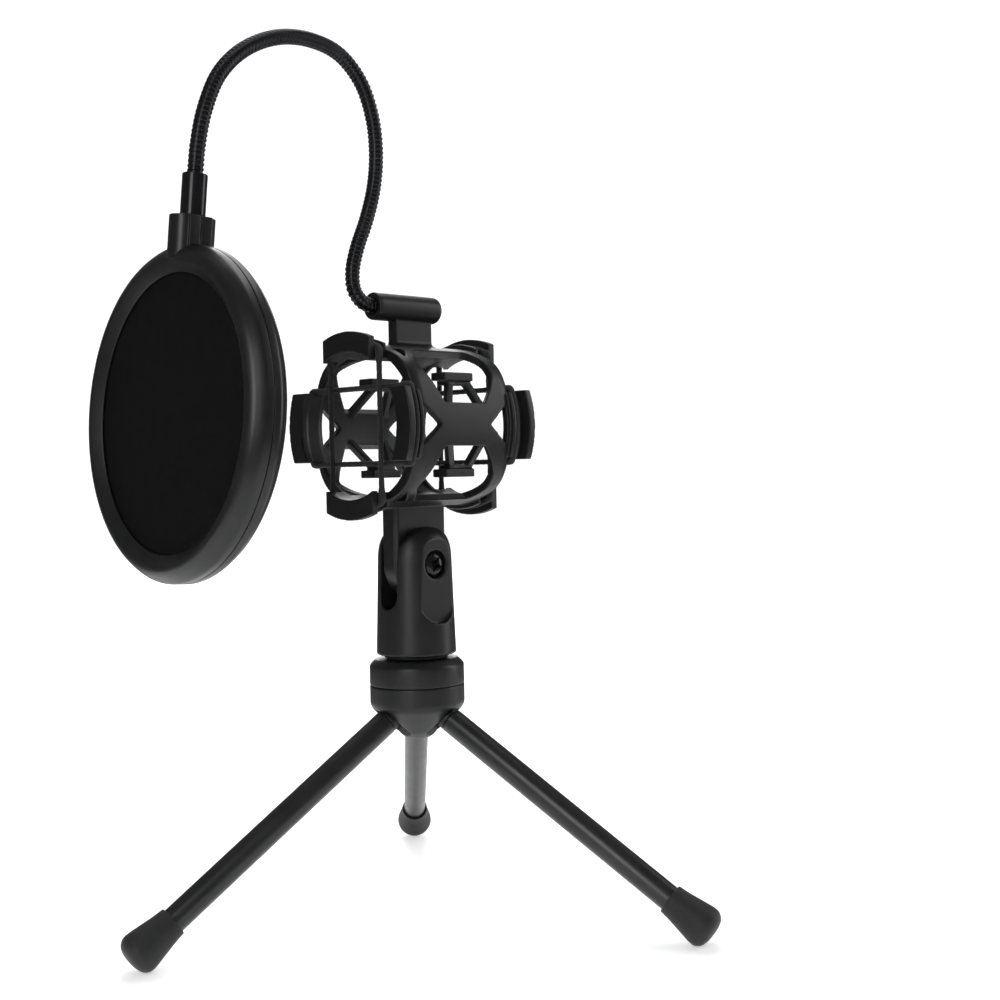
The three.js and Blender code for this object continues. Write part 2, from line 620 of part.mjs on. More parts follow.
// One ring with its half of the boss; side is -1 for the front ring and 1 for the rear ring.
function screenRing(side) {
  const profile = [
    [58, SEAM_HALF], [RING_OUTER, SEAM_HALF], [RING_OUTER, 3], [59.4, 4.2], [57.4, 6.6], [55.8, 7.6],
    [RING_CREST, CREST_DEPTH], [RING_INNER, 4.9], [RING_INNER, 4.4], [56.2, 4.4], [58, 2.8],
  ];
  const hoop = ring(profile, 48).rotateX(Math.PI / 2);
  const bossFoot = solid(hoop.clone()).add(solid(halfBoss()));
  const studHole = rodZ(2.8, 60.9, BOSS_TOP + 1, 16);
  const whole = geometryOf(cutFrom(bossFoot, studHole));
  return side < 0 ? whole : whole.rotateZ(Math.PI);
}

const screenDisc = rodZ(SCREEN_RADIUS, SCREEN_DEPTH, SCREEN_DEPTH + SCREEN_THICKNESS, 48);

const ferruleBase = BOSS_TOP + GAP;
const ferruleProfile = [
  [0, 61.5], [2.5, 61.5], [2.5, ferruleBase], [FERRULE_RADIUS, ferruleBase],
  [FERRULE_RADIUS, ferruleBase + FERRULE_LENGTH], [NECK_TUBE + 0.6, ferruleBase + FERRULE_LENGTH],
  [NECK_TUBE + 0.6, POP_DROP - GAP - 0.2], [0, POP_DROP - GAP - 0.2],
];

part('screen_ring_front', screenRing(-1), RING_PLASTIC, pop);
part('screen_ring_rear', screenRing(1), RING_PLASTIC, pop);
part('screen_front', screenDisc.clone().rotateX(Math.PI / 2), MESH_FABRIC, pop);
part('screen_rear', screenDisc.clone().rotateX(-Math.PI / 2), MESH_FABRIC, pop);
part('gooseneck_ferrule', turned(ferruleProfile, 24), BLACK_METAL, pop);

// ---------------------------------------------------------------- placement
// The origin is under the middle of the whole stand's bounding box, on the floor.
body.updateMatrixWorld(true);
const bounds = new THREE.Box3().setFromObject(body, true);
const model = new THREE.Group();
body.position.set(-(bounds.min.x + bounds.max.x) / 2, -(bounds.min.y + bounds.max.y) / 2, -bounds.min.z);
model.add(body);

export default model;
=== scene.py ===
"""The looks of a desk microphone stand with a pop filter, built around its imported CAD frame.

Shapes are drawn in millimetres about the hub's axis, with the floor at z = 0, the microphone along Y
and its front toward -Y. settle() then turns each one into metres at its place in the frame.
"""
import math

import bpy
import numpy as np
from mathutils import Matrix, Vector


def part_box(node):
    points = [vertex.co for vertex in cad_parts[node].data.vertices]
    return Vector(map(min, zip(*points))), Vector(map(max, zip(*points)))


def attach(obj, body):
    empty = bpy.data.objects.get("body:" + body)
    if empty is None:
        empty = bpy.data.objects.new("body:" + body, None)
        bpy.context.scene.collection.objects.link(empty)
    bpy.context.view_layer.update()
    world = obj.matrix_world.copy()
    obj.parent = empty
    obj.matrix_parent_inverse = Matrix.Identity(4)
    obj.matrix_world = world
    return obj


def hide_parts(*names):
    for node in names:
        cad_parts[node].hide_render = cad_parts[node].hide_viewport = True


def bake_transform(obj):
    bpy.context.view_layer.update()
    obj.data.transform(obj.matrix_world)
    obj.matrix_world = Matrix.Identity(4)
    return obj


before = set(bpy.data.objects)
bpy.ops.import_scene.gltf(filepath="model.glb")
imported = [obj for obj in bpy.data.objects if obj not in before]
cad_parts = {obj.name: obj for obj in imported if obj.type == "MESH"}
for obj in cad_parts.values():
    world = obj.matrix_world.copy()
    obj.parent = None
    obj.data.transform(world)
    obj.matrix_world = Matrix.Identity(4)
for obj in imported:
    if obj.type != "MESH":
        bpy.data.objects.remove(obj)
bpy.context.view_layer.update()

MM = 0.001
cap_low, cap_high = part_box("hub_top_cap")
HUB_AXIS = (cap_low + cap_high) / 2
TO_FRAME = Matrix.Translation((HUB_AXIS.x, HUB_AXIS.y, 0)) @ Matrix.Scale(MM, 4)


def in_hub_frame(point):
    """A point of the frame, in millimetres about the hub's axis."""
    return TO_FRAME.inverted() @ Vector(point)


def middle_of(*nodes):
    """The middle of the box round some CAD nodes, in millimetres about the hub's axis."""
    corners = [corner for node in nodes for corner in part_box(node)]
    low = Vector(min(corner[axis] for corner in corners) for axis in range(3))
    high = Vector(max(corner[axis] for corner in corners) for axis in range(3))
    return in_hub_frame((low + high) / 2)


# ---------------------------------------------------------------- dimensions, in millimetres
CLEARANCE = 0.3
HALF_GAP = 0.15
FINE_GAP = 0.07

HUB_RADIUS = 19.2
HUB_TOP = 103.5
HUB_SEAM = 93
HUB_SKIRT = 84.2
CAP_EDGE = 101
CAP_TOP_RADIUS = 16.7
NOSE_RADIUS = 8.6
NOSE_SHOULDER = 73.6
NOSE_TIP_RADIUS = 4.9
NOSE_BOTTOM = 71
BOLT_RADIUS = 2
BOLT_HEAD = 3.5
BOLT_TOP = 103
WASHER_RADIUS = 13

PIVOT_RADIUS = 11.6
PIVOT_HEIGHT = 81
LEG_SPLAY = math.radians(55.7)
LEG_YAWS = [math.radians(139.3 + 120 * leg) for leg in range(3)]
LEG_RADIUS = 5
LEG_BORE = 4.2
LEG_ROOM = 0.4
FOOT_START = 114.85
FOOT_OVERLAP = 13
KNUCKLE_RADIUS = 4.9
KNUCKLE_LENGTH = 4
SPIGOT_LENGTH = 12
SLOT_WIDTH = 10.8
PIN_RADIUS = 1.5
PIN_LENGTH = 13.2

THREAD_RADIUS = 7.95
THREAD_PITCH = 0.94
THREAD_TOP = 117
STUD_BORE = THREAD_RADIUS + 0.4
STUD_FOOT_RADIUS = 11
STUD_FOOT_TOP = 97
ROOM_ABOVE_STUD = 2.6
INSERT_RADIUS = 10
CLIP_BOTTOM = 105.2
TILT_HEIGHT = 141.7
CHEEK_RADIUS = 15
FORK_HALF = 4.9
FORK_BOTTOM = 128.9
RECESS_FACE = 12.7
RECESS_LOW = 127.5
RECESS_LOW_RADIUS = 9.4
RECESS_HIGH_RADIUS = 10.4
SCREW_RADIUS = 2.5
SCREW_HEAD = 5
SCREW_SEAT = 9.4
NUT_RADIUS = 4.5
NUT_SEAT = 9.2

CAGE = middle_of("elastic_front_upright", "elastic_rear_upright")
CAGE_OUTER = 32.4
CAGE_INNER = 29.2
CAGE_HALF = 25.8
CAGE_BULGE = 0.07
RIM_INNER = 29.4
PLATE_HALF_ANGLE = 12.5
BAR_HALF_WIDTH = 13
NECK_HALF_WIDTH = 14
NECK_HALF_THICKNESS = 4.6
NECK_TOP = -30.2
PAD_PLACE = Vector((22, 2, 19))
PAD_SIZE = (8, 15.4, 3.2)
PAD_STEP = (6, 10.4, 2)
PAD_STRUTS = [(-8.3, -0.5), (10.6, 8)]
POST_HALF = 9.6
SOCKET_RISE = 47.6
SOCKET_RADIUS = 5.5
SOCKET_FRONT = -20
SOCKET_REAR = 13.8
SOCKET_FLOOR = -7
CORD_RADIUS = 1.1
CORD_SPAN = 14.8
CORD_WRAP = 33.2
CORD_KNEE = 27.7
UPRIGHT_PLANE = 29.6
LEVEL_PLANE = 27.2

NECK_TUBE = 3
WINDING_PITCH = 1.8
GOOSE_ROUTE = [
    (-12, 244.8), (-19.6, 244.8), (-25, 246.1), (-28.8, 250.4), (-29.5, 257.5), (-26.9, 267),
    (-22.1, 278), (-18, 290.5), (-16.2, 304), (-17.6, 318.5), (-23.4, 332), (-34, 340.9),
    (-48, 343.6), (-63, 341.6), (-78, 334.4), (-89.2, 323.6), (-95.8, 310), (-99.2, 296.6),
    (-100.6, 286),
]
GOOSE_JOINT_STOPS = [4, 7, 10, 12, 14, 17]

RING_CENTRE = middle_of("screen_front", "screen_rear")
POP_TILT = math.radians(3.3)
POP_LEAN = math.radians(3.6)
POP_TURN = math.radians(-3.2)
RING_OUTER = 60.3
SCREEN_RADIUS = 53
SCREEN_DEPTH = 3.3
BOSS_TOP = 70.1
BOSS_BOTTOM = 54.3
FERRULE_RADIUS = 4.5
FERRULE_LENGTH = 15
FERRULE_STEM = 2.5
FERRULE_STEM_LOW = 61.5


# ---------------------------------------------------------------- camera, lights and floor
def make_camera():
    """The photograph's view: from the right of the front, just above level, very slightly rolled."""
    azimuth, elevation, roll = math.radians(44.5), math.radians(1.3), math.radians(1.1)
    place = Vector((429.4, -386.8, 179.9))
    ahead = Vector((
        -math.sin(azimuth) * math.cos(elevation),
        math.cos(azimuth) * math.cos(elevation),
        -math.sin(elevation)))
    level = Vector((math.cos(azimuth), math.sin(azimuth), 0))
    upright = (-ahead).cross(level)
    right = level * math.cos(roll) - upright * math.sin(roll)
    top = level * math.sin(roll) + upright * math.cos(roll)
    data = bpy.data.cameras.new("camera")
    data.lens = 51.1
    data.sensor_width = 36
    data.clip_start = 0.01
    camera = bpy.data.objects.new("camera", data)
    turn = Matrix((right, top, -ahead)).transposed().to_4x4()
    camera.matrix_world = Matrix.Translation(TO_FRAME @ place) @ turn
    bpy.context.scene.collection.objects.link(camera)
    bpy.context.scene.camera = camera


def area_light(name, place, size, watts):
    """A soft box at a place in metres about the stand, facing its middle."""
    data = bpy.data.lights.new(name, "AREA")
    data.shape = "RECTANGLE"
    data.size, data.size_y = size
    data.energy = watts
    light = bpy.data.objects.new(name, data)
    light.location = place
    stand_middle = Vector((0, 0, 0.18))
    aim = stand_middle - Vector(place)
    light.rotation_mode = "QUATERNION"
    light.rotation_quaternion = aim.to_track_quat("-Z", "Y")
    bpy.context.scene.collection.objects.link(light)


def make_studio():
    """A dim white surround and four soft boxes."""
    world = bpy.data.worlds.new("studio")
    world.use_nodes = True
    world.node_tree.nodes["Background"].inputs["Color"].default_value = (1, 1, 1, 1)
    world.node_tree.nodes["Background"].inputs["Strength"].default_value = 0.12
    bpy.context.scene.world = world
    bpy.context.scene.view_settings.view_transform = "Standard"
    area_light("key_front", (0.55, -1.12, 0.55), (0.4, 1.0), 6.5)
    area_light("key_right", (0.62, 1.05, 0.5), (0.3, 1.1), 5)
    area_light("rim_left", (-0.95, 0.75, 0.6), (0.45, 1.0), 5)
    area_light("top", (-0.34, 0.35, 1.3), (0.8, 0.8), 6)


# ---------------------------------------------------------------- mesh helpers
def make_object(name, points, faces):
    mesh = bpy.data.meshes.new(name)
    mesh.from_pydata([tuple(point) for point in points], [], faces)
    mesh.update()
    piece = bpy.data.objects.new(name, mesh)
    bpy.context.scene.collection.objects.link(piece)
    return piece


def spun(name, radii, heights, closed=False):
    """A solid about Z from radii (rows by sides) and heights (rows). An open one gets flat ends."""
    radii = np.asarray(radii, float)
    sides = radii.shape[1]
    angles = np.arange(sides) * 2 * math.pi / sides
    levels = np.repeat(np.asarray(heights, float)[:, None], sides, axis=1)
    points = np.stack([radii * np.cos(angles), radii * np.sin(angles), levels], axis=-1)
    return grid_tube(name, points, closed)


def grid_tube(name, points, closed=False):
    """A closed mesh from rows of points round a tube (rows by sides by 3)."""
    rows, sides, _ = points.shape
    flat = points.reshape(-1, 3)
    count = rows if closed else rows - 1
    row, side = np.meshgrid(np.arange(count), np.arange(sides), indexing="ij")
    after, beside = (row + 1) % rows, (side + 1) % sides
    quads = np.stack([
        row * sides + side, row * sides + beside, after * sides + beside, after * sides + side,
    ], axis=-1).reshape(-1, 4)
    faces = [tuple(quad) for quad in quads.tolist()]
    if not closed:
        first, last = len(flat), len(flat) + 1
        flat = np.vstack([flat, points[0].mean(axis=0), points[-1].mean(axis=0)])
        base = (rows - 1) * sides
        for at in range(sides):
            beyond = (at + 1) % sides
            faces.append((first, beyond, at))
            faces.append((last, base + at, base + beyond))
    return outward(make_object(name, flat, faces))


def outward(piece):
    """Turns a closed mesh's faces outward."""
    mesh = piece.data
    mesh.calc_loop_triangles()
    points = np.array([vertex.co for vertex in mesh.vertices])
    corners = points[np.array([triangle.vertices for triangle in mesh.loop_triangles])]
    volume = np.einsum("ij,ij->i", corners[:, 0], np.cross(corners[:, 1], corners[:, 2])).sum()
    if volume < 0:
        mesh.flip_normals()
    return piece


def rounded(points, closed=False, steps=5):
    """An outline of (u, v) corners, each with an optional third number that rounds it by that much."""
    made = []
    count = len(points)
    for index, point in enumerate(points):
        corner = Vector(point[:2])
        fillet = point[2] if len(point) > 2 else 0
        if fillet == 0 or (not closed and index in (0, count - 1)):
            made.append(tuple(corner))
            continue
        back = Vector(points[index - 1][:2]) - corner
        on = Vector(points[(index + 1) % count][:2]) - corner
        reach = min(fillet, 0.48 * back.length, 0.48 * on.length)
        start, end = corner + back.normalized() * reach, corner + on.normalized() * reach
        for step in range(steps + 1):
            t = step / steps
            made.append(tuple((1 - t) ** 2 * start + 2 * t * (1 - t) * corner + t * t * end))
    return made


def lathe(name, profile, segments=96):
    """A turned solid about Z from (radius, height) points: from axis to axis, or a closed ring."""
    on_axis = profile[0][0] < 1e-6
    shell = profile[1:-1] if on_axis else profile
    piece = spun(
        name, [[radius] * segments for radius, _ in shell], [height for _, height in shell],
        closed=not on_axis)
    if on_axis:
        ends = piece.data.vertices[-2:]
        ends[0].co.z, ends[1].co.z = profile[0][1], profile[-1][1]
    return piece


def arc(centre, radius, start, end, steps=24):
    """Points of an arc, with its angles in degrees."""
    angles = [math.radians(start + (end - start) * step / steps) for step in range(steps + 1)]
    return [(centre[0] + radius * math.cos(a), centre[1] + radius * math.sin(a)) for a in angles]


def prism(name, outline, low, high):
    """A flat outline in (x, y), extruded from low to high along Z."""
    count = len(outline)
    points = [(u, v, low) for u, v in outline] + [(u, v, high) for u, v in outline]
    faces = [tuple(range(count)), tuple(range(count, 2 * count))[::-1]]
    faces += [(at, at + count, (at + 1) % count + count, (at + 1) % count) for at in range(count)]
    return outward(make_object(name, points, faces))


ACROSS_X = Matrix(((0, 0, 1, 0), (1, 0, 0, 0), (0, 1, 0, 0), (0, 0, 0, 1)))
ALONG_Y = Matrix(((1, 0, 0, 0), (0, 0, -1, 0), (0, 1, 0, 0), (0, 0, 0, 1)))


def prism_x(outline, low, high):
    """An outline in (y, z), extruded along X."""
    return moved(prism("tool", outline, low, high), ACROSS_X)


def prism_y(outline, low, high):
    """An outline in (x, z), extruded along Y."""
    return moved(prism("tool", outline, -high, -low), ALONG_Y)


def moved(piece, matrix):
    piece.data.transform(matrix)
    return piece


def shifted(piece, x=0.0, y=0.0, z=0.0):
    return moved(piece, Matrix.Translation((x, y, z)))


def block(size, centre, matrix=None):
    """A box of a size about a centre, then placed by a matrix."""
    x, y, z = (side / 2 for side in size)
    made = prism("tool", [(-x, -y), (x, -y), (x, y), (-x, y)], -z, z)
    shifted(made, *centre)
    return moved(made, matrix) if matrix else made


def rod(radius, low, high, axis="Z", segments=32):
    made = lathe("tool", [(0, low), (radius, low), (radius, high), (0, high)], segments)
    turns = {"X": Matrix.Rotation(math.pi / 2, 4, "Y"), "Y": Matrix.Rotation(-math.pi / 2, 4, "X")}
    return moved(made, turns[axis]) if axis in turns else made


def baked(piece):
    """Applies a piece's modifiers to its mesh."""
    graph = bpy.context.evaluated_depsgraph_get()
    old = piece.data
    mesh = bpy.data.meshes.new_from_object(piece.evaluated_get(graph))
    mesh.name = piece.name
    piece.modifiers.clear()
    piece.data = mesh
    bpy.data.meshes.remove(old)
    return piece


def combined(piece, tools, operation):
    """Adds, cuts or intersects closed solids, and takes the tools away."""
    for tool in tools:
        step = piece.modifiers.new("step", "BOOLEAN")
        step.operation = operation
        step.solver = "MANIFOLD"
        step.object = tool
    baked(piece)
    for tool in tools:
        bpy.data.objects.remove(tool)
    return piece


def cut(piece, *tools):
    return combined(piece, tools, "DIFFERENCE")


def added(piece, *tools):
    return combined(piece, tools, "UNION")


def moulded(piece, voxel, smoothing):
    """Rounds every edge the way a moulding does, by remeshing finely and relaxing the surface."""
    remesh = piece.modifiers.new("remesh", "REMESH")
    remesh.mode = "VOXEL"
    remesh.voxel_size = voxel
    relax = piece.modifiers.new("relax", "SMOOTH")
    relax.factor = 0.5
    relax.iterations = smoothing
    return baked(piece)


def bevelled(piece, width):
    """Rounds the sharp edges of a piece."""
    bevel = piece.modifiers.new("bevel", "BEVEL")
    bevel.width = width
    bevel.segments = 3
    bevel.limit_method = "ANGLE"
    bevel.angle_limit = math.radians(40)
    bevel.use_clamp_overlap = True
    return baked(piece)


def settle(piece, name, material, slot, body, *nodes, smooth_angle=None):
    """Names a finished shape, places it in the frame and lets it stand for its CAD nodes."""
    piece.name = name
    piece.data.name = name
    piece.data.transform(TO_FRAME)
    piece.data.polygons.foreach_set("use_smooth", [True] * len(piece.data.polygons))
    if smooth_angle:
        piece.data.set_sharp_from_angle(angle=math.radians(smooth_angle))
    piece.data.materials.clear()
    piece.data.materials.append(material)
    if body:
        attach(piece, body)
    if nodes:
        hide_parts(*nodes)
    return piece


# ---------------------------------------------------------------- materials
class Look:
    """A principled material whose colour, roughness and relief come from procedural nodes."""

    def __init__(self, name, color, roughness, **sockets):
        self.material = bpy.data.materials.new(name)
        self.material.use_nodes = True
        self.tree = self.material.node_tree
        self.shader = self.tree.nodes["Principled BSDF"]
        self.color = color
        self.roughness = roughness
        self.relief = None
        self.place = self.node("ShaderNodeTexCoord").outputs["Object"]
        for socket, value in sockets.items():
            self.shader.inputs[socket.replace("_", " ")].default_value = value

    def node(self, kind, **settings):
        made = self.tree.nodes.new(kind)
        for key, value in settings.items():
            setattr(made, key, value)
        return made

    def link(self, output, socket):
        self.tree.links.new(output, socket)

    def noise(self, size_mm, detail):
        """Noise with features of about a size in millimetres."""
        noise = self.node("ShaderNodeTexNoise")
        noise.inputs["Scale"].default_value = 1 / (size_mm * MM)
        noise.inputs["Detail"].default_value = detail
        self.link(self.place, noise.inputs["Vector"])
        return noise.outputs["Fac"]

    def math(self, operation, first, second=None):
        node = self.node("ShaderNodeMath", operation=operation)
        for socket, value in zip(node.inputs, (first, second)):
            if value is None:
                continue
            if isinstance(value, (int, float)):
                socket.default_value = value
            else:
                self.link(value, socket)
        return node.outputs["Value"]

    def ranged(self, value, low, high, to_low=0, to_high=1):
        node = self.node("ShaderNodeMapRange")
        self.link(value, node.inputs["Value"])
        limits = {"From Min": low, "From Max": high, "To Min": to_low, "To Max": to_high}
        for socket, number in limits.items():
            node.inputs[socket].default_value = number
        return node.outputs["Result"]

    def tint(self, value, dark, light):
        """Colours from a dark to a light tone of the base colour, as a value runs from 0 to 1."""
        mix = self.node("ShaderNodeMix", data_type="RGBA")
        self.link(value, mix.inputs["Factor"])
        mix.inputs["A"].default_value = (*(channel * dark for channel in self.color), 1)
        mix.inputs["B"].default_value = (*(channel * light for channel in self.color), 1)
        self.link(mix.outputs["Result"], self.shader.inputs["Base Color"])

    def polish(self, value, spread):
        """Roughness that varies about its own value."""
        rough = self.ranged(value, 0.3, 0.7, self.roughness - spread, self.roughness + spread)
        self.link(rough, self.shader.inputs["Roughness"])

    def bump(self, height, strength, depth_mm):
        bump = self.node("ShaderNodeBump")
        bump.inputs["Strength"].default_value = strength
        bump.inputs["Distance"].default_value = depth_mm * MM
        self.link(height, bump.inputs["Height"])
        if self.relief:
            self.link(self.relief, bump.inputs["Normal"])
        self.relief = bump.outputs["Normal"]
        self.link(self.relief, self.shader.inputs["Normal"])


def moulded_plastic(name, color, roughness, grain_mm, grain_depth):
    """Black plastic with a fine spark-eroded grain over faint waves."""
    look = Look(name, color, roughness, Specular_IOR_Level=0.4)
    cloud = look.noise(28, detail=4)
    grain = look.noise(grain_mm, detail=3)
    look.tint(look.ranged(look.noise(6, detail=5), 0.3, 0.7), 0.85, 1.2)
    patches = look.math("ADD", look.math("MULTIPLY", cloud, 0.7), look.math("MULTIPLY", grain, 0.3))
    look.polish(patches, 0.05)
    look.bump(look.noise(11, detail=1), 0.14, 0.05)
    look.bump(grain, 0.35, grain_depth)
    return look.material


def satin_paint(name):
    """Powder coat: a shallow orange peel under a thin gloss."""
    look = Look(name, (0.0095, 0.0095, 0.0104), 0.34, Specular_IOR_Level=0.4, Coat_Weight=0.14,
                Coat_Roughness=0.26)
    look.tint(look.ranged(look.noise(14, detail=4), 0.35, 0.65), 0.9, 1.15)
    look.polish(look.noise(9, detail=3), 0.035)
    look.bump(look.noise(2.2, detail=2), 0.16, 0.012)
    look.bump(look.noise(0.3, detail=1), 0.1, 0.004)
    return look.material


def soft_rubber(name):
    """Matt rubber with light dust."""
    look = Look(name, (0.012, 0.012, 0.0124), 0.56, Specular_IOR_Level=0.3, Sheen_Weight=0.03,
                Sheen_Roughness=0.6)
    dust = look.ranged(look.noise(2.6, detail=6), 0.55, 0.85)
    look.tint(dust, 0.95, 1.4)
    look.polish(look.noise(5, detail=3), 0.05)
    look.bump(look.noise(0.5, detail=4), 0.4, 0.022)
    return look.material


def bare_metal(name, color, roughness):
    look = Look(name, color, roughness, Metallic=1.0)
    look.tint(look.ranged(look.noise(1.6, detail=5), 0.3, 0.7), 0.85, 1.1)
    look.polish(look.noise(0.8, detail=4), 0.07)
    look.bump(look.noise(0.3, detail=3), 0.25, 0.006)
    return look.material


def black_metal(name):
    """Blackened steel with a smooth sheen."""
    look = Look(name, (0.022, 0.022, 0.024), 0.22, Metallic=0.8, Specular_IOR_Level=0.6)
    look.tint(look.ranged(look.noise(12, detail=3), 0.3, 0.7), 0.85, 1.15)
    look.polish(look.noise(4, detail=3), 0.035)
    look.bump(look.noise(0.9, detail=2), 0.08, 0.005)
    return look.material


def woven_cord(name):
    """Fuzzy fibre on the braided elastics."""
    look = Look(name, (0.013, 0.013, 0.0137), 0.78, Specular_IOR_Level=0.3, Sheen_Weight=0.12,
                Sheen_Roughness=0.45)
    fibre = look.noise(0.2, detail=4)
    look.tint(look.ranged(fibre, 0.35, 0.65), 0.6, 1.6)
    look.polish(look.noise(0.5, detail=3), 0.06)
    look.bump(fibre, 0.6, 0.03)
    return look.material


def screen_fabric(name):
    """Plain-woven nylon mesh: round threads along X and Z; its colour carries painted shade in the holes
    between them and a painted highlight where they cross.
    """
    look = Look(name, (0.0026, 0.0026, 0.0028), 0.72, Specular_IOR_Level=0.07, Sheen_Weight=0.008,
                Sheen_Roughness=0.5)
    axes = look.node("ShaderNodeSeparateXYZ")
    look.link(look.place, axes.inputs["Vector"])
    pitch = 0.45 * MM
    threads = []
    for axis in ("X", "Z"):
        wave = look.math("SINE", look.math("MULTIPLY", axes.outputs[axis], math.pi / pitch))
        threads.append(look.math("ABSOLUTE", wave))
    weave = look.math("MAXIMUM", *threads)
    crossing = look.math("MULTIPLY", *threads)
    height = look.math("ADD", weave, look.math("MULTIPLY", crossing, 0.5))
    # Painted shade and highlight: the colour follows the weave's height, darker in the holes between threads
    # and lighter where threads cross.
    look.tint(look.ranged(height, 0.5, 1.4), 0.7, 1.35)
    look.polish(look.noise(9, detail=2), 0.04)
    look.bump(height, 0.3, 0.06)
    return look.material


def pale_floor():
    look = Look("pale_floor", (0.86, 0.86, 0.86), 0.6, Specular_IOR_Level=0.2)
    look.shader.inputs["Emission Color"].default_value = (1, 1, 1, 1)
    look.shader.inputs["Emission Strength"].default_value = 0.3
    look.tint(look.noise(300, detail=2), 0.99, 1.01)
    return look.material


def make_backdrop():
    """A pale floor that curves up into a round wall, in metres. Only its middle shows in the gloss."""
    middle_radius, floor_radius, sweep, wall_top, sides = 0.42, 1.1, 0.7, 2.2, 96
    material = pale_floor()
    angles = np.arange(sides) * 2 * math.pi / sides
    profile = [(middle_radius, 0)] + arc((floor_radius, sweep), sweep, -90, 0, 16)
    profile += [(floor_radius + sweep, wall_top)]
    points = [(r * math.cos(a), r * math.sin(a), z) for r, z in profile for a in angles]
    faces = []
    for row in range(len(profile) - 1):
        for side in range(sides):
            beside = (side + 1) % sides
            first, second = row * sides, (row + 1) * sides
            faces.append((first + beside, first + side, second + side, second + beside))
    middle = make_object("floor_middle", points[:sides], [tuple(range(sides))])
    backdrop = make_object("backdrop", points, faces)
    backdrop.data.polygons.foreach_set("use_smooth", [True] * len(faces))
    backdrop.visible_glossy = False
    for piece in (middle, backdrop):
        piece.data.materials.append(material)


PLASTIC = moulded_plastic("moulded_black", (0.006, 0.006, 0.0066), 0.4, 0.34, 0.016)
RING_PLASTIC = moulded_plastic("ring_black", (0.0065, 0.0065, 0.0072), 0.34, 0.26, 0.009)
PAINT = satin_paint("leg_paint")
RUBBER = soft_rubber("foot_rubber")
STEEL = bare_metal("zinc_steel", (0.5, 0.5, 0.51), 0.34)
BRASS = bare_metal("insert_brass", (0.62, 0.43, 0.18), 0.32)
DARK_STEEL = black_metal("black_steel")
GOOSE_METAL = black_metal("gooseneck_black")
CORD = woven_cord("elastic_cord")
FABRIC = screen_fabric("screen_mesh")


# ---------------------------------------------------------------- tripod hub
def leg_frame(yaw):
    """From a leg drawn hanging under its pivot to its splayed place."""
    return (Matrix.Rotation(yaw, 4, "Z") @ Matrix.Translation((PIVOT_RADIUS, 0, PIVOT_HEIGHT))
            @ Matrix.Rotation(-LEG_SPLAY, 4, "Y"))


def leg_slot(yaw):
    """The room that one leg needs in the hub, from hanging straight down to its splay."""
    room, below, outside = LEG_RADIUS + LEG_ROOM, NOSE_BOTTOM - 4, PIVOT_RADIUS + 24
    slope = Vector((math.sin(LEG_SPLAY), -math.cos(LEG_SPLAY)))
    shoulder = Vector((PIVOT_RADIUS + room * math.cos(LEG_SPLAY),
                       PIVOT_HEIGHT + room * math.sin(LEG_SPLAY)))
    outline = [(PIVOT_RADIUS - room, below)]
    outline += arc((PIVOT_RADIUS, PIVOT_HEIGHT), room, 180, math.degrees(LEG_SPLAY), 16)
    outline += [tuple(shoulder + slope * 20), (outside, below)]
    tool = prism_y(outline, -SLOT_WIDTH / 2, SLOT_WIDTH / 2)
    return moved(tool, Matrix.Rotation(yaw, 4, "Z"))


def pin_shape(radius, length, yaw):
    """A leg's hinge pin in the hub, or the hole for it."""
    pin = lathe("pin", rounded([
        (0, -length / 2), (radius, -length / 2, 0.4), (radius, length / 2, 0.4), (0, length / 2)]), 32)
    place = Matrix.Rotation(yaw, 4, "Z") @ Matrix.Translation((PIVOT_RADIUS, 0, PIVOT_HEIGHT))
    return moved(pin, place @ Matrix.Rotation(math.pi / 2, 4, "X"))


